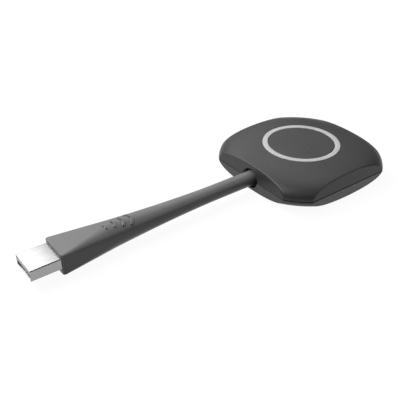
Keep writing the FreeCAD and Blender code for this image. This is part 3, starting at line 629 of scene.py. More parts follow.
# The record's material slots and the finish that each one gets
FINISHES = {
    # ABS moulded in a spark-eroded tool: a satin near-black with a faint grain. The real grain is
    # 0.1 mm and is drawn three times as coarse, so that it shows
    "cover_abs": Finish("abs_spark_eroded", "#373737", "#3B3B3C", 0.43, grain_mm=0.3,
                        relief_mm=0.006, patch_mm=14.0),
    # The same ABS from a finer tool: a little greener, and smoother under the thumb
    "button_abs": Finish("abs_fine_spark_eroded", "#383A38", "#3E403E", 0.47, grain_mm=0.25,
                         relief_mm=0.004, patch_mm=12.0),
    # Milky moulded polycarbonate: pale grey while the lamps under it are off
    "ring_diffuser": Finish("polycarbonate_milky", "#BDBDBF", "#C7C7C9", 0.32, grain_mm=0.6,
                            relief_mm=0.002, subsurface=0.2, subsurface_mm=0.8, patch_mm=5.0),
    # Filled white polycarbonate: an even chalky white that sends the lamps' light up
    "white_reflector": Finish("polycarbonate_white", "#E8E8E4", "#DEDEDA", 0.5, patch_mm=4.0),
    # Moulded silicone foot: dead matt and slightly dusty
    "pad_rubber": Finish("silicone_moulded", "#1E1E1F", "#2A2A2B", 0.82, grain_mm=0.35,
                         relief_mm=0.015, patch_mm=5.0, specular=0.3),
    # Elastomer moulded over a stiff core: lighter than the head, with a soft sheen
    "tail_tpe": Finish("elastomer_overmoulded", "#737374", "#787879", 0.35, grain_mm=0.3,
                       relief_mm=0.002, patch_mm=10.0, specular=0.38),
    # Moulded rubber: a black that hardly shines, at the bottom of the socket
    "grommet_rubber": Finish("rubber_moulded", "#161617", "#1D1D1E", 0.75, grain_mm=0.3,
                             relief_mm=0.01, specular=0.25),
    # Rolled and zinc-plated steel: grey metal with blurred highlights
    "screw_steel": Finish("steel_zinc_plated", "#8E8F92", "#A2A3A6", 0.34, metallic=1.0,
                          grain_mm=0.2, relief_mm=0.002, patch_mm=1.5),
    # Stamped tin plate: pale, slightly warm metal with a soft shine
    "tin_plate": Finish("tin_plate_stamped", "#B9B9B4", "#C8C8C4", 0.36, metallic=1.0,
                        grain_mm=0.25, relief_mm=0.002, patch_mm=4.0),
    # Nickel on folded steel: bright, faintly drawn along the plug
    "plug_nickel": Finish("steel_nickel_plated", "#989898", "#9C9C9C", 0.27,
                          roughness_spread=0.02, metallic=1.0, grain_mm=0.5, relief_mm=0.0003,
                          patch_mm=4.0, stretch=(0.15, 1.0, 1.0)),
    # Glass and epoxy laminate under solder mask: glossy green with lighter tracks
    "circuit_board": SolderMask("laminate_solder_masked", "#1D6B3B", "#175A31", 0.35,
                                grain_mm=0.4, relief_mm=0.003, patch_mm=8.0),
    # Transfer-moulded epoxy: a dull black with a fine tooth
    "chip_epoxy": Finish("epoxy_transfer_moulded", "#1C1C1E", "#262628", 0.62, grain_mm=0.15,
                         relief_mm=0.006, patch_mm=2.0),
    # Phosphor in cast silicone: pale yellow and a little see-through at the edges
    "lamp_body": Finish("phosphor_silicone_cast", "#EFE6B8", "#F4F1E2", 0.25, grain_mm=0.3,
                        patch_mm=0.8, subsurface=0.2),
    # Fired ceramic with tinned ends: a dull tan between two bright caps
    "ceramic": CappedBlocks("ceramic_fired", "#A07A54", "#8F6C4A", 0.55, grain_mm=0.1,
                            patch_mm=0.6),
    # Pressed and sintered ferrite: dark grey and granular
    "ferrite": Finish("ferrite_sintered", "#37373A", "#46464A", 0.7, grain_mm=0.12,
                      relief_mm=0.01, patch_mm=0.7),
    # Moulded black nylon: a plain half-matt black
    "switch_plastic": Finish("nylon_black_moulded", "#1B1B1C", "#232324", 0.5, grain_mm=0.2,
                             patch_mm=2.0),
    # Moulded acetal in its own colour: cream, with a waxy shine
    "stem_plastic": Finish("acetal_moulded", "#C9C2AE", "#D3CDBB", 0.4, grain_mm=0.2,
                           patch_mm=2.0),
    # Rolled aluminium sheet: a light metal whose shine is drawn along the rolling
    "spreader_aluminium": Finish("aluminium_rolled", "#C6C8CA", "#D2D4D6", 0.35, metallic=1.0,
                                 grain_mm=0.3, relief_mm=0.003, patch_mm=5.0,
                                 stretch=(0.1, 1.0, 1.0)),
    # Cast silicone filled with ceramic: a chalky blue-grey with no shine
    "gap_filler": Finish("filled_silicone_cast", "#9FB4C6", "#8FA6B9", 0.8, grain_mm=0.4,
                         relief_mm=0.02, patch_mm=2.5),
    # Stamped brass: a clear yellow metal
    "antenna_metal": Finish("brass_stamped", "#E0BC62", "#D2AC52", 0.28, metallic=1.0,
                            grain_mm=0.2, relief_mm=0.002, patch_mm=3.0),
    # Gold plating on bronze springs: a warmer, sharper shine than the brass
    "contact_gold": Finish("bronze_gold_plated", "#E6C268", "#D9B45A", 0.24, metallic=1.0,
                           grain_mm=0.15, relief_mm=0.001, patch_mm=1.5),
    # Moulded white thermoplastic tongue: smooth and slightly waxy
    "tongue_plastic": Finish("thermoplastic_white_moulded", "#F2F2F0", "#EAEAE8", 0.4,
                             grain_mm=0.25, relief_mm=0.002, patch_mm=2.0, subsurface=0.1),
    # Moulded polyethylene round the plug's solder joints: a cloudy pale grey
    "inner_mould": Finish("polyethylene_moulded", "#B9B9B2", "#ACACA5", 0.55, grain_mm=0.4,
                          patch_mm=4.0, subsurface=0.1),
    # Extruded black PVC: a half-matt black, drawn out along the cable
    "jacket_pvc": Finish("pvc_jacket_extruded", "#232324", "#2C2C2D", 0.5, grain_mm=0.3,
                         patch_mm=4.0, stretch=ALONG_X),
    # Tinned copper strands, woven: bright diagonals with shade painted dark into the gaps. A real strand is
    # 0.1 mm and is drawn two and a half times as wide, so that the weave shows
    "braid_copper": Braid("tinned_copper_woven", "#D8CCB8", "#C8B89E", 0.35, metallic=1.0,
                          grain_mm=0.15, relief_mm=0.02, patch_mm=1.0),
    # Moulded nylon in its own colour: an ivory with a slight shine
    "header_nylon": Finish("nylon_natural_moulded", "#E0DAC6", "#D6D0BC", 0.5, grain_mm=0.25,
                           patch_mm=2.5),
}

# Extruded PVC on the four wires: a clear colour with an even soft shine along the wire
for shade, colour, second_colour in (("red", "#B3231E", "#A21E1A"), ("white", "#E4E4E2", "#D8D8D6"),
                                     ("green", "#2C8A3E", "#257A36"), ("black", "#1A1A1A", "#242424")):
    FINISHES[f"insulation_{shade}"] = Finish(f"pvc_{shade}_extruded", colour, second_colour, 0.42,
                                             grain_mm=0.2, patch_mm=3.0, stretch=ALONG_X)


class Wardrobe:
    """Builds each finish once and puts it on pieces and on CAD nodes."""

    def __init__(self) -> None:
        """Start with no finish built."""
        self.built: dict[str, bpy.types.Material] = {}

    def material(self, slot: str) -> bpy.types.Material:
        """The material of a slot, built when it is first asked for.

        Args:
            slot: the record's material slot.

        Returns:
            The material.
        """
        if slot not in self.built:
            self.built[slot] = FINISHES[slot].build()
        return self.built[slot]

    def dress(self, piece: Piece, slot: str, body: str, *nodes: str) -> None:
        """Give a new piece its finish, its body and the CAD nodes that it stands for.

        Args:
            piece: the new piece.
            slot: the record's material slot.
            body: the CAD body that it moves with.
            nodes: CAD nodes that it replaces.
        """
        piece.data.materials.clear()
        piece.data.materials.append(self.material(slot))
        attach(piece, body)
        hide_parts(*nodes)
        log.info("%s: %d faces in %s", piece.name, len(piece.data.polygons), slot)

    def dress_nodes(self) -> None:
        """Give every CAD node the finish of its slot, before new pieces stand in for some of them."""
        for part in frame["record"]["subparts"]:
            cad = frame["nodes"][part["node"]]
            cad.data.materials.clear()
            cad.data.materials.append(self.material(part["material_slot"]))
            log.info("%s: CAD node in %s", part["node"], part["material_slot"])


# The head

@dataclass(frozen=True)
class Pillow:
    """The head's form: a turned dome on each side of the seam, cut by four drafted flats.

    The dome's height is its full height times the root of one less the fourth power of the
    radius over the full radius.
    """

    round_r: float = 36.35
    flat_half: float = 29.65
    crown_height: float = 8.0
    keel_depth: float = 7.2
    land_depth: float = 6.2
    wall: float = 1.7
    draft_deg: float = 8.0
    crease_blend: float = 0.45
    meeting_gain: float = 3.0
    halvings: int = 40

    def reach(self, turn: np.ndarray, climb: np.ndarray, height: float, inset: float) -> np.ndarray:
        """Distance from the seam's centre to the surface along a ray.

        For the dome, the fourth power of the ray's run and the square of its rise give a square
        root in closed form. For the flat it is the half width over the ray's share across it. The
        lesser of the two, eased, rounds the crease.

        Args:
            turn: direction in plan.
            climb: angle above the seam plane.
            height: full height of this side's dome, before the inset.
            inset: how far inside the outer surface.

        Returns:
            The distance along each ray.
        """
        return blend_least(self.dome_reach(climb, height, inset), self.flat_reach(turn, climb, inset),
                           self.crease_blend)

    def dome_reach(self, climb: np.ndarray, height: float, inset: float) -> np.ndarray:
        """Distance along a ray to the dome alone.

        Args:
            climb: angle above the seam plane.
            height: full height of this side's dome, before the inset.
            inset: how far inside the outer surface.

        Returns:
            The distance along each ray.
        """
        steep = (np.sin(climb) / (height - inset)) ** 2
        spread = 4.0 * (np.cos(climb) / (self.round_r - inset)) ** 4
        return np.sqrt(2.0 / (steep + np.sqrt(steep ** 2 + spread)))

    def flat_reach(self, turn: np.ndarray, climb: np.ndarray, inset: float) -> np.ndarray:
        """Distance along a ray to the nearest flat alone.

        Args:
            turn: direction in plan.
            climb: angle above the seam plane.
            inset: how far inside the outer surface.

        Returns:
            The distance along each ray.
        """
        facing = np.maximum(np.abs(np.cos(turn)), np.abs(np.sin(turn)))
        draft = math.tan(math.radians(self.draft_deg))
        return (self.flat_half - inset) / (np.cos(climb) * facing + np.sin(climb) * draft)

    def outline(self, turn: np.ndarray, inset: float) -> np.ndarray:
        """Radius of the seam's outline, drawn in by an inset."""
        return self.reach(turn, np.zeros_like(turn), self.crown_height, inset)

    def dome_height(self, radius: np.ndarray, height: float, inset: float = 0.0) -> np.ndarray:
        """Height of the dome above the seam at a radius, or of the dome an inset inside it."""
        return (height - inset) * np.sqrt(1.0 - (radius / (self.round_r - inset)) ** 4)

    def dome_radius(self, level: float, height: float, inset: float = 0.0) -> float:
        """Radius at which the dome, or the one an inset inside it, comes to a height."""
        return (self.round_r - inset) * (1.0 - (level / (height - inset)) ** 2) ** 0.25

    def crease_climb(self, turn: np.ndarray, height: float, top: float) -> np.ndarray:
        """Angle at which dome and flat cross, found by halving; 0 where the dome meets the seam.

        Args:
            turn: directions in plan.
            height: full height of this side's dome.
            top: the steepest angle to look at.

        Returns:
            The angle for each direction.
        """
        low = np.zeros_like(turn)
        high = np.full_like(turn, top)
        for _ in range(self.halvings):
            middle = 0.5 * (low + high)
            on_flat = self.dome_reach(middle, height, 0.0) > self.flat_reach(turn, middle, 0.0)
            low = np.where(on_flat, middle, low)
            high = np.where(on_flat, high, middle)
        return high

    def turns(self, columns: int = 360) -> np.ndarray:
        """Directions in plan, closer together where a flat meets the round outline.

        The density is one, plus a bell of the gain on each side of every flat's middle.

        Args:
            columns: how many directions.

        Returns:
            The directions.
        """
        meeting = math.acos(self.flat_half / self.round_r)
        density = np.ones_like(FINE_TURN)
        for quarter in range(4):
            for side in (-1, 1):
                place = (0.5 * np.pi * quarter + side * meeting) % (2.0 * np.pi)
                density += self.meeting_gain * bell(FINE_TURN - place)
        return spaced(density, columns)


@dataclass
class Covers:
    """Upper and lower shells of the head, with a shut line, a lip and the tail's mouth."""

    form: Pillow
    # Seam and lip
    shut_half: float = 0.18
    rim_edge: float = 0.04
    lip_inset: float = 0.85
    lip_gap: float = 0.08
    lip_wall: float = 0.75
    lip_height: float = 0.9
    lip_root: float = 1.0
    inside_start: float = 1.2
    # Floor, pad recess and the ring's opening
    floor_inside: float = 4.5
    pad_gap: float = 0.1
    pad_recess: float = 0.6
    pad_edge: float = 0.1
    ring_gap: float = 0.05
    ring_edge: float = 0.12
    flange_top: float = 6.75
    # The tail's mouth and the spool's pocket
    mouth_gap: float = 0.9
    mouth_flare: float = 1.5
    pocket_start: float = -28.0
    pocket_gap: float = 0.05
    lip_relief_r: float = 4.9
    cut_start: float = -40.0
    cut_end: float = -22.4
    # Rows and columns
    crease_span: float = 0.035
    row_gap: float = 0.01
    zone_rows: tuple[int, int, int] = (44, 18, 14)
    rim_rows: int = 5
    opening_rows: int = 3
    flare_rows: int = 10
    cutter_columns: int = 128

    def skin(self, turn: np.ndarray, height: float, inset: float, top: float,
             bottom_z: float) -> np.ndarray:
        """Rows of the outer or inner skin from a top angle down to a height near the seam.

        Rows are close together on both sides of the crease. Where there is no crease they keep
        the same places near the seam.

        Args:
            turn: directions in plan.
            height: full height of this side's dome.
            inset: how far inside the outer surface.
            top: angle of the first row.
            bottom_z: height of the last row above the seam.

        Returns:
            A grid with heights measured away from the seam.
        """
        span = self.crease_span
        crease = np.maximum(self.form.crease_climb(turn, height, top), 2.0 * span)
        last = np.arctan(bottom_z / self.form.outline(turn, inset))
        limits = (np.full_like(turn, top), np.minimum(crease + span, top - self.row_gap), crease - span, last)
        rows = []
        for first, final, count in zip(limits[:-1], limits[1:], self.zone_rows):
            share = np.linspace(0.0, 1.0, count, endpoint=False)[:, None]
            rows.append(first + (final - first) * share)
        climb = np.vstack(rows + [last[None, :]])
        reach = self.form.reach(turn[None, :], climb, height, inset)
        return np.stack([reach * np.cos(climb) * np.cos(turn), reach * np.cos(climb) * np.sin(turn),
                         reach * np.sin(climb)], axis=-1)

    def seam_rows(self, turn: np.ndarray, steps: list[tuple[float, float]]) -> np.ndarray:
        """Rows that follow the seam's outline, each with an inset and a height."""
        return self.level_rows(turn, [(self.form.outline(turn, inset), height) for inset, height in steps])

    def level_rows(self, turn: np.ndarray, steps: list[tuple[np.ndarray | float, float]]) -> np.ndarray:
        """Level rows, each with a radius, or a radius for every direction, and a height."""
        return np.stack([np.stack([radius * np.cos(turn), radius * np.sin(turn),
                                   np.full_like(turn, height)], axis=-1) for radius, height in steps])

    def rim_steps(self) -> list[tuple[float, float]]:
        """Inset and height of the rounded edge at the seam, without its first row."""
        out, up = rounded(self.rim_edge, self.rim_rows)
        return list(zip(out, self.shut_half + up))[1:]

    def build_top(self) -> Piece:
        """Upper shell: crown, rounded seam edge, lip step, inner skin and the ring's opening.

        Returns:
            The new object.
        """
        form = self.form
        turn = form.turns()
        ring_r = RING_OUTER_R + self.ring_gap
        crown_r = ring_r + self.ring_edge
        flange_r = FLANGE_R + self.ring_gap
        outer_top = math.atan2(form.dome_height(crown_r, form.crown_height), crown_r)
        inner_top = math.atan2(form.dome_height(flange_r, form.crown_height, form.wall), flange_r)
        outer = self.skin(turn, form.crown_height, 0.0, outer_top, self.shut_half + self.rim_edge)
        step_r = self.lip_inset - self.lip_gap
        step_z = self.lip_height + self.lip_gap
        rim = self.seam_rows(turn, self.rim_steps() + [
            (step_r, self.shut_half), (step_r, step_z), (form.wall, step_z)])
        inner = self.skin(turn, form.crown_height, form.wall, inner_top, step_z)[::-1]
        edge_out, edge_down = rounded(self.ring_edge, self.opening_rows)
        edge_z = form.dome_height(ring_r, form.crown_height) - edge_down
        opening = self.level_rows(turn, [(flange_r, self.flange_top), (ring_r, self.flange_top)]
                                  + list(zip(ring_r + edge_out, edge_z))[:-1])
        grid = np.concatenate([outer, rim, inner[1:], opening])
        grid[..., 2] += SEAM_HEIGHT
        piece = grid_piece("top_shell", grid, Ends.LOOP)
        cut(piece, self.mouth())
        cut(piece, self.bore(SPOOL_R + self.pocket_gap, self.pocket_start))
        return piece

    def build_bottom(self) -> Piece:
        """Lower shell: pad recess, land, keel, rounded seam edge, lip and inner skin.

        Returns:
            The new object.
        """
        form = self.form
        turn = form.turns()
        top = math.atan2(form.land_depth, form.dome_radius(form.land_depth, form.keel_depth))
        recess_z = form.land_depth - self.pad_recess
        recess_r = PAD_R + self.pad_gap
        recess = self.level_rows(turn, [
            (POLE_R, recess_z), (0.5 * recess_r, recess_z), (recess_r, recess_z),
            (recess_r, form.land_depth - self.pad_edge), (recess_r + self.pad_edge, form.land_depth)])
        outer = self.skin(turn, form.keel_depth, 0.0, top, self.shut_half + self.rim_edge)
        lip_end = self.lip_inset + self.lip_wall
        rim = self.seam_rows(turn, self.rim_steps() + [
            (self.lip_inset, self.shut_half), (self.lip_inset, -self.lip_height),
            (lip_end, -self.lip_height), (lip_end, self.lip_root)])
        floor_r = form.dome_radius(self.floor_inside, form.keel_depth, form.wall)
        inner_top = math.atan2(self.floor_inside, floor_r)
        inner = self.skin(turn, form.keel_depth, form.wall, inner_top, self.inside_start)[::-1]
        floor = self.level_rows(turn, [(0.5 * floor_r, self.floor_inside), (POLE_R, self.floor_inside)])
        grid = np.concatenate([recess, outer, rim, inner, floor])
        grid[..., 2] = SEAM_HEIGHT - grid[..., 2]
        piece = grid_piece("bottom_shell", grid, Ends.POLES)
        cut(piece, self.mouth())
        cut(piece, self.bore(SPOOL_R + self.pocket_gap, self.pocket_start))
        cut(piece, self.bore(self.lip_relief_r, self.cut_start, upper_only=True))
        return piece

    def mouth(self) -> Piece:
        """Cutter for the tail's mouth, whose rim flares outwards by a quarter circle.

        Returns:
            The cutter.
        """
        inwards, outwards = rounded(self.mouth_flare, self.flare_rows)
        x = np.concatenate([[self.cut_start], inwards - self.form.flat_half, [self.cut_end]])
        radius = TAIL_R + self.mouth_gap + np.concatenate([outwards[:1], outwards, outwards[-1:]])
        grid = swept(round_stations(x, radius), full_turn(self.cutter_columns))
        return grid_piece("mouth_cutter", grid, Ends.POLES)

    def bore(self, radius: float, start_x: float, upper_only: bool = False) -> Piece:
        """Round cutter along the tail's axis from a start inwards, or its upper half alone.

        Args:
            radius: the cutter's radius.
            start_x: where it starts.
            upper_only: whether it stops at the seam.

        Returns:
            The cutter.
        """
        stations = round_stations(np.array([start_x, self.cut_end]), np.full(2, radius))
        grid = swept(stations, full_turn(self.cutter_columns))
        if upper_only:
            grid[..., 2] = np.maximum(grid[..., 2], SEAM_HEIGHT + HAIR)
        return grid_piece("socket_cutter", grid, Ends.POLES)

    def dress(self, wardrobe: Wardrobe) -> None:
        """Build both shells and dress them."""
        wardrobe.dress(self.build_top(), "cover_abs", "housing", "top_cover")
        wardrobe.dress(self.build_bottom(), "cover_abs", "housing", "bottom_cover")


@dataclass
class LightRing:
    """Translucent ring, slightly proud of the crown, with its hidden flange."""

    bottom_z: float = 12.35
    flange_z: float = 13.3
    top_z: float = 14.64
    edge: float = 0.22
    edge_rows: int = 6

    def build(self) -> Piece:
        """Profile round the Z axis: a level top between two rounded edges, on a flange.

        Returns:
            The new object.
        """
        inwards, down = rounded(self.edge, self.edge_rows)
        profile = np.concatenate([
            np.stack([RING_INNER_R + inwards, self.top_z - down], axis=-1),
            np.stack([RING_OUTER_R - inwards, self.top_z - down], axis=-1)[::-1],
            np.array([[RING_OUTER_R, self.flange_z], [FLANGE_R, self.flange_z],
                      [FLANGE_R, self.bottom_z], [RING_INNER_R, self.bottom_z]])])
        return grid_piece("ring_lens", turned(profile), Ends.LOOP)

    def dress(self, wardrobe: Wardrobe) -> None:
        """Build the ring and dress it."""
        wardrobe.dress(self.build(), "ring_diffuser", "housing", "light_ring")


@dataclass
class ButtonCap:
    """Round cap that carries on the crown inside the ring, with its skirt and centre boss."""

    form: Pillow
    gap: float = 0.2
    edge: float = 0.28
    under_z: float = 13.1
    skirt_r: float = 13.7
    skirt_wall: float = 1.0
    skirt_z: float = 9.15
    boss_r: float = 2.2
    boss_z: float = 10.23
    crown_rows: int = 24
    edge_rows: int = 7

    def build(self) -> Piece:
        """Profile round the Z axis: the crown's own curve, a rounded rim, the skirt and the boss.

        Returns:
            The new object.
        """
        cap_r = RING_INNER_R - self.gap
        radii = np.linspace(POLE_R, cap_r - self.edge, self.crown_rows)
        crown = SEAM_HEIGHT + self.form.dome_height(radii, self.form.crown_height)
        down, inwards = rounded(self.edge, self.edge_rows)
        inner_r = self.skirt_r - self.skirt_wall
        profile = np.concatenate([
            np.stack([radii, crown], axis=-1),
            np.stack([cap_r - inwards, crown[-1] - down], axis=-1)[1:],
            np.array([[cap_r, self.under_z], [self.skirt_r, self.under_z],
                      [self.skirt_r, self.skirt_z], [inner_r, self.skirt_z], [inner_r, self.under_z],
                      [self.boss_r, self.under_z], [self.boss_r, self.boss_z], [POLE_R, self.boss_z]])])
        return grid_piece("button_disc", turned(profile), Ends.POLES)

    def dress(self, wardrobe: Wardrobe) -> None:
        """Build the cap and dress it."""
        wardrobe.dress(self.build(), "button_abs", "button", "button_cap")


@dataclass
class SnapDome:
    """Thin sprung cap under the plunger, built at rest; the real cap flattens as the button goes down."""

    sheet: float = 0.1
    keep: float = 0.38
    steps: int = 14
    columns: int = 96
    pole_angle: float = 0.01

    def build(self) -> tuple[Piece, float]:
        """Cap of a sphere with an even sheet, in the place of the CAD node.

        The ball's radius is half the sum of the rise and of the span squared over the rise.

        Returns:
            The piece, and the height of its foot in metres.
        """
        low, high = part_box("switch_dome")
        span = 0.5 * (high[0] - low[0]) / METRES
        foot, rise = low[2] / METRES, (high[2] - low[2]) / METRES
        ball_r = (span ** 2 + rise ** 2) / (2.0 * rise)
        inner_r = ball_r - self.sheet
        outer = np.linspace(self.pole_angle, math.asin(span / ball_r), self.steps)
        inner = np.linspace(math.acos((ball_r - rise) / inner_r), self.pole_angle, self.steps)
        radius = np.concatenate([ball_r * np.sin(outer), inner_r * np.sin(inner)])
        height = np.concatenate([ball_r * np.cos(outer), inner_r * np.cos(inner)]) - ball_r + rise + foot
        grid = turned(np.stack([radius, height], axis=-1), self.columns)
        return grid_piece("snap_dome", grid, Ends.POLES), foot * METRES

    def dress(self, wardrobe: Wardrobe) -> None:
        """Build the dome, dress it and give it a mesh of its own.

        Args:
            wardrobe: the finishes.
        """
        piece, foot = self.build()
        wardrobe.dress(piece, "tin_plate", "housing", "switch_dome")
        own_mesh(piece)


@dataclass
class FootPad:
    """Rubber disc under the head, with a shallow ring pressed into its face."""

    top_z: float = 1.0
    edge: float = 0.25
    groove_r: float = 22.6
    groove_half: float = 0.35
    groove_depth: float = 0.12
    middle_r: float = 12.0
    edge_rows: int = 6
    groove_rows: int = 9
    columns: int = 192

    def build(self) -> Piece:
        """Profile round the Z axis: flat top, rounded lower edge, pressed ring, flat face.

        The pressed ring's depth is half its full depth times one plus the cosine across it.

        Returns:
            The new object.
        """
        inwards, up = rounded(self.edge, self.edge_rows)
        across = np.linspace(1.0, -1.0, self.groove_rows)
        groove_z = 0.5 * self.groove_depth * (1.0 + np.cos(np.pi * across))
        profile = np.concatenate([
            np.array([[POLE_R, self.top_z], [PAD_R, self.top_z]]),
            np.stack([PAD_R - inwards, up], axis=-1),
            np.stack([self.groove_r + self.groove_half * across, groove_z], axis=-1),
            np.array([[self.middle_r, 0.0], [POLE_R, 0.0]])])
        return grid_piece("foot_disc", turned(profile, self.columns), Ends.POLES)

    def dress(self, wardrobe: Wardrobe) -> None:
        """Build the pad and dress it."""
        wardrobe.dress(self.build(), "pad_rubber", "housing", "foot_pad")


# The tail

@dataclass
class TailSleeve:
    """Moulded arm: a round stretch, a swelling taper and a rectangular plug grip with four bows."""

    # Round stretch and taper
    straight_end: float = 48.6
    taper_rate: float = 0.00333
    taper_power: float = 1.67
    # Grip and its front end
    grip_start: float = 96.8
    grip_end: float = 119.8
    grip_half_y: float = 6.9
    grip_half_z: float = 4.35
    grip_corner: float = 0.5
    nose_r: float = 1.2
    nose_edge: float = 0.15
    # Cavity; the mould's room has a half width and a half height at each end
    inner_end: float = 22.35
    bore_r: float = 2.12
    shell_gap: float = 0.03
    shell_corner: float = 0.6
    mould_start: float = 103.77
    mould_setback: float = 1.0
    mould_front: tuple[float, float] = (6.27, 3.42)
    mould_rear: tuple[float, float] = (4.52, 2.97)
    mould_corner: float = 0.2
    # Bows, each with a groove and a pit
    bow_count: int = 4
    bow_first: float = 99.4
    bow_pitch: float = 3.73
    bow_width: float = 1.3
    bow_height: float = 0.16
    bow_bend: float = 3.2
    bow_span: float = 1.05
    bow_span_step: float = 0.57
    bow_roll_deg: float = 14.0
    bow_ahead: float = 2.0
    bow_behind: float = 1.0
    steep_foot: float = 0.25
    soft_foot: float = 0.6
    groove_half: float = 0.26
    groove_slope: float = 1.5
    groove_start: float = 0.6
    groove_fade: float = 0.3
    sunk_depth: float = 0.6
    pit_r: float = 0.42
    pit_slope: float = 1.3
    pit_shift: float = 0.2
    # Rows and columns
    columns: int = 264
    corner_gain: float = 3.0
    top_gain: float = 1.0
    zone_rows: tuple[int, int, int, int] = (16, 40, 230, 24)
    nose_rows: int = 14
    sharp_deg: float = 50.0

    def radius_at(self, distance: np.ndarray) -> np.ndarray:
        """Radius of the round part: a power of the distance past the straight stretch, added on."""
        past = np.maximum(distance - self.straight_end, 0.0)
        return TAIL_R + self.taper_rate * past ** self.taper_power

    def outer_stations(self, distance: np.ndarray) -> np.ndarray:
        """Sections of the skin at distances from the head's centre.

        In the grip, the core rectangle grows in line with the distance while the corner radius
        shrinks in line, so its four sides are flat triangles between ruled corners.

        Args:
            distance: distances towards the plug.

        Returns:
            Rows of x, rise, half width, half height and corner radius.
        """
        share = np.clip((distance - self.grip_start) / (self.grip_end - self.grip_start), 0.0, 1.0)
        end_r = self.radius_at(np.array(self.grip_start))
        round_part = self.radius_at(np.minimum(distance, self.grip_start))
        radius = np.where(share > 0.0, end_r + (self.grip_corner - end_r) * share, round_part)
        half_y = share * (self.grip_half_y - self.grip_corner) + radius
        half_z = share * (self.grip_half_z - self.grip_corner) + radius
        return np.stack([-distance, np.zeros_like(distance), half_y, half_z, radius], axis=-1)

    def nose_stations(self) -> np.ndarray:
        """Sections of the front end, whose upright edges are rounded more than its level ones.

        The half width falls by the nose's radius times one less cosine while the distance grows by
        the radius times the sine. The half height falls only at the very end, as a circle of the
        smaller edge.

        Returns:
            Rows of x, rise, half width, half height and corner radius.
        """
        inwards, left = rounded(self.nose_r, self.nose_rows)
        rows = self.outer_stations(self.grip_end - left)
        past = np.clip(1.0 - left / self.nose_edge, 0.0, 1.0)
        rows[:, 2] -= inwards
        rows[:, 3] -= self.nose_edge * (1.0 - np.sqrt(1.0 - past ** 2))
        return rows

    def inner_stations(self) -> np.ndarray:
        """Sections of the cavity: the shell's slot, the tapered room of the mould, the cable's bore.

        Returns:
            Rows of x, rise, half width, half height and corner radius.
        """
        mouth, step = -self.grip_end, -self.grip_end + self.mould_setback
        slot = (PLUG_RISE, PLUG_HALF_Y + self.shell_gap, PLUG_HALF_Z + self.shell_gap, self.shell_corner)
        bore = (0.0, self.bore_r, self.bore_r, self.bore_r)
        return np.array([
            (mouth, *slot), (step, *slot), (step, PLUG_RISE, *self.mould_front, self.mould_corner),
            (-self.mould_start, PLUG_RISE, *self.mould_rear, self.mould_corner),
            (-self.mould_start, *bore), (-self.inner_end, *bore)])

    def bow_relief(self, grid: np.ndarray) -> np.ndarray:
        """Height of the bows over each point of the skin.

        Each bow is an arc in plan, seen along a line that leans towards -Y, and bulges towards the
        head. Its height falls with the distance from the arc, quickly on the plug's side and at the
        ends, and softly on the head's side.

        Args:
            grid: points of the skin.

        Returns:
            Outward height at each point, negative in the grooves and pits.
        """
        roll = math.radians(self.bow_roll_deg)
        y, z = grid[..., 1], grid[..., 2] - SEAM_HEIGHT
        across = y * math.cos(roll) + z * math.sin(roll)
        on_top = z * math.cos(roll) - y * math.sin(roll) > 0.0
        relief = np.zeros_like(y)
        sunk = np.zeros_like(y)
        for index in range(self.bow_count):
            along = grid[..., 0] + self.bow_first - index * self.bow_pitch + self.bow_bend
            sweep = math.asin((self.bow_span + index * self.bow_span_step) / self.bow_bend)
            lean = np.arctan2(across, along)
            held = np.clip(lean, -sweep, sweep)
            off_arc = self.off_arc(along, across, self.bow_bend, held)
            steep = (np.hypot(along, across) < self.bow_bend) | (np.abs(lean) > sweep)
            foot = np.where(steep, self.steep_foot, self.soft_foot)
            relief = np.maximum(relief, ease((0.5 * (self.bow_width + self.steep_foot) - off_arc) / foot))
            sunk = np.maximum(sunk, self.bow_lines(along, across, held, sweep))
        return np.where(on_top, self.bow_height * relief - self.sunk_depth * sunk, 0.0)

    def bow_lines(self, along: np.ndarray, across: np.ndarray, held: np.ndarray,
                  sweep: float) -> np.ndarray:
        """Share of full depth in one bow's fine groove and in the pit at its nearer end.

        The groove follows the foot on the plug's side of the farther half, and fades out past the
        bow's middle.

        Args:
            along: distance from the arc's centre along the tail.
            across: distance from it across the tail.
            held: direction of each point from the centre, kept within the bow.
            sweep: half the bow's angle.

        Returns:
            0 on the skin to 1 at full depth.
        """
        groove_r = self.bow_bend - 0.5 * (self.bow_width + self.groove_half)
        off_groove = self.off_arc(along, across, groove_r, held) / self.groove_half
        groove = ease(self.groove_slope * (1.0 - off_groove))
        fade = ease(held / (self.groove_fade * sweep) + self.groove_start)
        off_pit = np.hypot(along - self.bow_bend * math.cos(sweep) + self.pit_shift,
                           across + self.bow_bend * math.sin(sweep) + self.pit_shift) / self.pit_r
        return np.maximum(groove * fade, ease(self.pit_slope * (1.0 - off_pit)))

    def off_arc(self, along: np.ndarray, across: np.ndarray, radius: float,
                held: np.ndarray) -> np.ndarray:
        """Distance of each point from the nearest point of an arc."""
        return np.hypot(along - radius * np.cos(held), across - radius * np.sin(held))

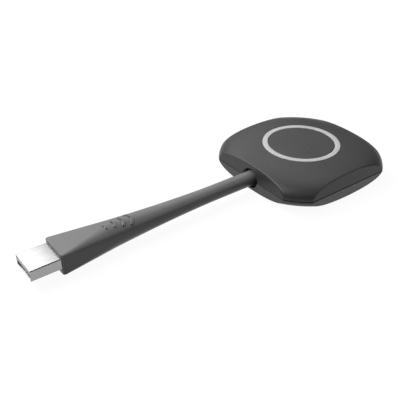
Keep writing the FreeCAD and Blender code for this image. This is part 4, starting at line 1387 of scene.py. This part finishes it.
    def build(self) -> Piece:
        """Skin from the head's end to the plug's mouth and back along the inside.

        Rows are closest together over the bows. The relief moves each point straight away from the
        tail's axis.

        Returns:
            The new object.
        """
        angle = gathered_turn(self.columns, self.grip_half_y, self.grip_half_z, self.corner_gain,
                              self.top_gain)
        limits = (self.inner_end, self.straight_end,
                  self.bow_first - self.bow_count * self.bow_pitch + self.bow_behind,
                  self.bow_first + self.bow_ahead, self.grip_end - self.nose_r)
        distance = np.concatenate([
            np.linspace(first, last, count, endpoint=False)
            for first, last, count in zip(limits[:-1], limits[1:], self.zone_rows)])
        skin = swept(self.outer_stations(distance), angle)
        outward = skin * (0.0, 1.0, 1.0) - (0.0, 0.0, SEAM_HEIGHT)
        outward /= np.linalg.norm(outward, axis=-1, keepdims=True)
        skin = skin + self.bow_relief(skin)[..., None] * outward
        rim = swept(self.nose_stations(), angle)
        inside = swept(self.inner_stations(), angle)
        return grid_piece("tail_skin", np.concatenate([skin, rim, inside]), Ends.LOOP,
                          self.sharp_deg)

    def dress(self, wardrobe: Wardrobe) -> None:
        """Build the sleeve and dress it."""
        wardrobe.dress(self.build(), "tail_tpe", "housing", "tail_sleeve")


@dataclass
class Grommet:
    """Rubber spool on the tail, seen as the dark face at the bottom of the hooded socket."""

    slip: float = 0.02
    neck_r: float = 3.85
    face_x: float = -27.95
    disc: float = 2.3
    neck: float = 1.8
    rear: float = 1.4
    edge: float = 0.25
    edge_rows: int = 5
    columns: int = 96

    def build(self) -> Piece:
        """Circles along the X axis: rounded front face, neck and rear disc, with a bore.

        Returns:
            The new object.
        """
        bore_r = TAIL_R + self.slip
        neck_x = self.face_x + self.disc
        rear_x = neck_x + self.neck
        end_x = rear_x + self.rear
        inwards, back = rounded(self.edge, self.edge_rows)
        x = np.concatenate([[self.face_x], self.face_x + back[::-1],
                            [neck_x, neck_x, rear_x, rear_x, end_x, end_x]])
        radius = np.concatenate([[bore_r], SPOOL_R - inwards[::-1],
                                 [SPOOL_R, self.neck_r, self.neck_r, SPOOL_R, SPOOL_R, bore_r]])
        grid = swept(round_stations(x, radius), full_turn(self.columns))
        return grid_piece("tail_spool", grid, Ends.LOOP)

    def dress(self, wardrobe: Wardrobe) -> None:
        """Build the spool and dress it."""
        wardrobe.dress(self.build(), "grommet_rubber", "housing", "tail_grommet")


# The plug

@dataclass
class UsbPlug:
    """Folded steel shell with latch windows below, and the tongue that holds the contacts."""

    corner: float = 0.4
    sheet: float = 0.3
    tip_x: float = -131.3
    end_x: float = -113.4
    lead: float = 0.12
    columns: int = 240
    corner_gain: float = 8.0
    # Windows and fold
    window_length: float = 2.0
    window_width: float = 2.5
    window_half_depth: float = 1.2
    window_edge: float = 0.15
    window_pitch: float = 5.6
    window_from_tip: float = 5.2
    fold_half: float = 0.05
    fold_depth: float = 0.12
    fold_edge: float = 0.02
    fold_past_tip: float = 1.0
    fold_short: float = 0.5
    window_columns: int = 48
    fold_columns: int = 16
    # Tongue
    tongue_half_y: float = 5.1
    tongue_top: float = 1.85
    tongue_bottom: float = -0.03
    tongue_setback: float = 0.15
    tongue_base_x: float = -122.4
    tongue_edge: float = 0.12
    tongue_columns: int = 96

    def build_shell(self) -> Piece:
        """Tube of rounded rectangles with eased tip edges, cut by the windows and the fold.

        Each section is the shell's outline drawn in by an inset: the tip's rounded edge and the
        outside, then the inside, which opens by half the lead at the tip.

        Returns:
            The new object.
        """
        lead, wall = self.lead, self.sheet
        inwards, back = rounded(lead, EDGE_STEPS)
        rows = [(self.tip_x + x, inset, self.corner) for x, inset in zip(back[::-1], inwards[::-1])]
        rows += [(self.end_x, 0.0, self.corner), (self.end_x, wall, self.corner - wall),
                 (self.tip_x + lead, wall, self.corner - wall),
                 (self.tip_x, wall - 0.5 * lead, self.corner - wall)]
        stations = np.array([(x, PLUG_RISE, PLUG_HALF_Y - inset, PLUG_HALF_Z - inset, corner)
                             for x, inset, corner in rows])
        angle = gathered_turn(self.columns, PLUG_HALF_Y, PLUG_HALF_Z, self.corner_gain)
        shell = grid_piece("plug_shell", swept(stations, angle), Ends.LOOP)
        for side in (-1, 1):
            cut(shell, self.window(side))
        cut(shell, self.fold())
        return shell

    def below(self, name: str, stations: np.ndarray, columns: int, y: float) -> Piece:
        """Cutter from stations, moved to a place across the shell's lower face."""
        grid = swept(stations, full_turn(columns)) + (0.0, y, PLUG_RISE - PLUG_HALF_Z)
        return grid_piece(name, grid, Ends.POLES)

    def window(self, side: int) -> Piece:
        """Rounded cutter for one latch window of the lower face.

        Args:
            side: -1 or 1, for the window on -Y or +Y.

        Returns:
            The cutter.
        """
        x0 = self.tip_x + self.window_from_tip
        stations = block_stations(x0, x0 + self.window_length, 0.0, 0.5 * self.window_width,
                                  self.window_half_depth, self.window_edge)
        return self.below("window_cutter", stations, self.window_columns, side * 0.5 * self.window_pitch)

    def fold(self) -> Piece:
        """Narrow cutter where the folded edges meet along the lower face."""
        stations = block_stations(self.tip_x - self.fold_past_tip, self.end_x - self.fold_short, 0.0,
                                  self.fold_half, self.fold_depth, self.fold_edge)
        return self.below("fold_cutter", stations, self.fold_columns, 0.0)

    def build_tongue(self) -> Piece:
        """Tongue in the shell's upper half, with an eased front, on the block that fills its rear.

        Returns:
            The new object.
        """
        edge = self.tongue_edge
        middle = PLUG_RISE + 0.5 * (self.tongue_top + self.tongue_bottom)
        half_z = 0.5 * (self.tongue_top - self.tongue_bottom)
        front = block_stations(self.tip_x + self.tongue_setback, self.tongue_base_x, middle,
                               self.tongue_half_y, half_z, edge)[:EDGE_STEPS]
        rear = block_stations(self.tongue_base_x, self.end_x, PLUG_RISE, self.tongue_half_y,
                              self.tongue_top, edge)
        root = front[-1:].copy()
        root[:, 0] = self.tongue_base_x
        grid = swept(np.concatenate([front, root, rear]), full_turn(self.tongue_columns))
        return grid_piece("plug_tongue", grid, Ends.POLES)

    def dress(self, wardrobe: Wardrobe) -> None:
        """Build the shell and the tongue and dress them."""
        wardrobe.dress(self.build_shell(), "plug_nickel", "housing", "usb_shell")
        wardrobe.dress(self.build_tongue(), "tongue_plastic", "housing", "plug_insulator")


# Floor, light and camera

@dataclass
class Studio:
    """Pale floor, soft light mostly from the back left, and the photograph's camera."""

    # Floor, surroundings and cards
    floor_half: float = 2500.0
    floor_drop: float = 0.03
    shadow_share: float = 0.06
    lit_level: float = 0.72
    white: str = "#FFFFFF"
    floor_bounce: str = "#5A5A5A"
    world_fill: str = "#303031"
    card_black: str = "#0A0A0A"
    card_half: float = 2400.0
    card_height: float = 900.0
    # Camera
    target: tuple[float, float, float] = (-56.52, -1.13, 6.6)
    azimuth_deg: float = -36.36
    elevation_deg: float = 33.2
    distance: float = 248.8
    lens: float = 55.46
    sensor: float = 36.0
    clip_start: float = 10.0
    # Lamps: azimuth and elevation in degrees, and power in watts
    lamp_target: tuple[float, float, float] = (-40.0, 0.0, 6.6)
    lamp_distance: float = 500.0
    lamp_size: float = 300.0
    lamps: tuple[tuple[float, float, float], ...] = (
        (250.0, 55.0, 1.69), (200.0, 45.0, 1.05), (174.0, 34.0, 0.14), (150.0, 33.0, 0.31),
        (112.0, 30.0, 0.1), (120.0, 62.0, 0.31), (85.0, 62.0, 0.08), (30.0, 40.0, 0.28))

    def shown(self, tree: Tree) -> Socket:
        """Tell which rays show the background: from the camera, in gloss and through glass.

        Args:
            tree: the material's or world's tree.

        Returns:
            A socket that is 1 for those rays and 0 for the others.
        """
        path = node(tree, "ShaderNodeLightPath")
        total = node(tree, "ShaderNodeMath", {
            0: path.outputs["Is Camera Ray"], 1: path.outputs["Is Glossy Ray"]}, operation="ADD")
        return node(tree, "ShaderNodeMath", {
            0: total.outputs[0], 1: path.outputs["Is Transmission Ray"]}, operation="ADD",
            use_clamp=True).outputs[0]

    def mixed(self, tree: Tree, share: Socket, first: bpy.types.Node,
              second: bpy.types.Node) -> bpy.types.Node:
        """Mix two shaders by a share of the second."""
        return node(tree, "ShaderNodeMixShader", {0: share, 1: first.outputs[0], 2: second.outputs[0]})

    def panel(self, name: str, corners: np.ndarray, faces: list[tuple[int, ...]],
              material: bpy.types.Material) -> Piece:
        """Put flat faces in the scene in one material.

        Args:
            name: the object's name.
            corners: places of the corners in millimetres.
            faces: numbers of each face's corners.
            material: the material.

        Returns:
            The new object.
        """
        mesh = bpy.data.meshes.new(name)
        mesh.from_pydata((corners * METRES).tolist(), [], faces)
        mesh.materials.append(material)
        return link(mesh, name)

    def corners(self, half: float, height: float) -> np.ndarray:
        """Corners of a level square at a height, anticlockwise from -X and -Y."""
        return np.array([[-half, -half, height], [half, -half, height],
                         [half, half, height], [-half, half, height]])

    def build_floor(self) -> None:
        """White floor that keeps a soft shadow where it is seen, and bounces little light.

        It lies a hair below the foot pad and can be seen through from underneath.
        """
        material = bpy.data.materials.new("studio_floor")
        tree = cleared(material)
        glow = node(tree, "ShaderNodeEmission", {
            "Color": linear(self.white), "Strength": 1.0 - self.shadow_share})
        share = self.shadow_share / self.lit_level
        lit = node(tree, "ShaderNodeBsdfDiffuse", {"Color": (share, share, share, 1.0)})
        seen = node(tree, "ShaderNodeAddShader", {0: glow.outputs[0], 1: lit.outputs[0]})
        bounce = node(tree, "ShaderNodeBsdfDiffuse", {"Color": linear(self.floor_bounce)})
        upper = self.mixed(tree, self.shown(tree), bounce, seen)
        under = node(tree, "ShaderNodeNewGeometry").outputs["Backfacing"]
        surface = self.mixed(tree, under, upper, node(tree, "ShaderNodeBsdfTransparent"))
        node(tree, "ShaderNodeOutputMaterial", {"Surface": surface.outputs[0]})
        floor = self.panel("floor", self.corners(self.floor_half, -self.floor_drop), [(0, 1, 2, 3)], material)

    def build_cards(self) -> None:
        """Black cards round and over the table, which the camera doesn't see.

        They stand for the photograph's dark surroundings, so that tops reflect the lamps alone.
        """
        material = bpy.data.materials.new("black_card")
        tree = cleared(material)
        camera_ray = node(tree, "ShaderNodeLightPath").outputs["Is Camera Ray"]
        black = node(tree, "ShaderNodeBsdfDiffuse", {"Color": linear(self.card_black)})
        surface = self.mixed(tree, camera_ray, black, node(tree, "ShaderNodeBsdfTransparent"))
        node(tree, "ShaderNodeOutputMaterial", {"Surface": surface.outputs[0]})
        corners = np.concatenate([self.corners(self.card_half, height) for height in (0.0, self.card_height)])
        sides = [(k, (k + 1) % 4, (k + 1) % 4 + 4, k + 4) for k in range(4)]
        cards = self.panel("black_cards", corners, [(4, 5, 6, 7)] + sides, material)

    def build_world(self) -> None:
        """White surroundings where they are seen, and a dim even fill elsewhere."""
        world = bpy.data.worlds.new("studio")
        tree = cleared(world)
        fill = node(tree, "ShaderNodeBackground", {"Color": linear(self.world_fill), "Strength": 1.0})
        white = node(tree, "ShaderNodeBackground", {"Color": linear(self.white), "Strength": 1.0})
        surface = self.mixed(tree, self.shown(tree), fill, white)
        node(tree, "ShaderNodeOutputWorld", {"Surface": surface.outputs[0]})
        bpy.context.scene.world = world

    def aim(self, name: str, data: bpy.types.ID, azimuth_deg: float, elevation_deg: float,
            distance: float, target: tuple[float, float, float]) -> Piece:
        """Put a lamp or a camera in the scene, facing a target.

        Args:
            name: its name.
            data: the lamp's or camera's data.
            azimuth_deg: its azimuth from the target, from -Y towards +X.
            elevation_deg: its height above the horizon.
            distance: its distance from the target.
            target: what it faces.

        Returns:
            The new object.
        """
        azimuth, elevation = math.radians(azimuth_deg), math.radians(elevation_deg)
        back = Vector((math.sin(azimuth) * math.cos(elevation), -math.cos(azimuth) * math.cos(elevation),
                       math.sin(elevation)))
        made = bpy.data.objects.new(name, data)
        bpy.context.scene.collection.objects.link(made)
        made.location = (Vector(target) + back * distance) * METRES
        made.rotation_mode = "QUATERNION"
        made.rotation_quaternion = (-back).to_track_quat("-Z", "Y")
        return made

    def build_lamps(self) -> None:
        """Square soft lamps that face the middle of the object."""
        for number, (azimuth, elevation, power) in enumerate(self.lamps):
            name = f"softbox_{number}"
            data = bpy.data.lights.new(name, "AREA")
            data.shape = "SQUARE"
            data.size = self.lamp_size * METRES
            data.energy = power
            self.aim(name, data, azimuth, elevation, self.lamp_distance, self.lamp_target)

    def build_camera(self) -> None:
        """Camera at the photograph's viewing angle."""
        data = bpy.data.cameras.new("camera")
        data.lens = self.lens
        data.sensor_width = self.sensor
        data.clip_start = self.clip_start * METRES
        bpy.context.scene.camera = self.aim("camera", data, self.azimuth_deg, self.elevation_deg,
                                            self.distance, self.target)

    def build(self) -> None:
        """Set the stage."""
        self.build_floor()
        self.build_world()
        self.build_cards()
        self.build_lamps()
        self.build_camera()
        bpy.context.scene.view_settings.view_transform = "Standard"


def main() -> None:
    """Build the stage and every piece, in order."""
    logging.basicConfig(level=logging.INFO, format="%(name)s: %(message)s")
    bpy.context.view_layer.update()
    wardrobe = Wardrobe()
    wardrobe.dress_nodes()
    Studio().build()
    form = Pillow()
    for part in (Covers(form), LightRing(), ButtonCap(form), SnapDome(), FootPad(), TailSleeve(),
                 Grommet(), UsbPlug()):
        part.dress(wardrobe)


if __name__ == "__main__":
    main()
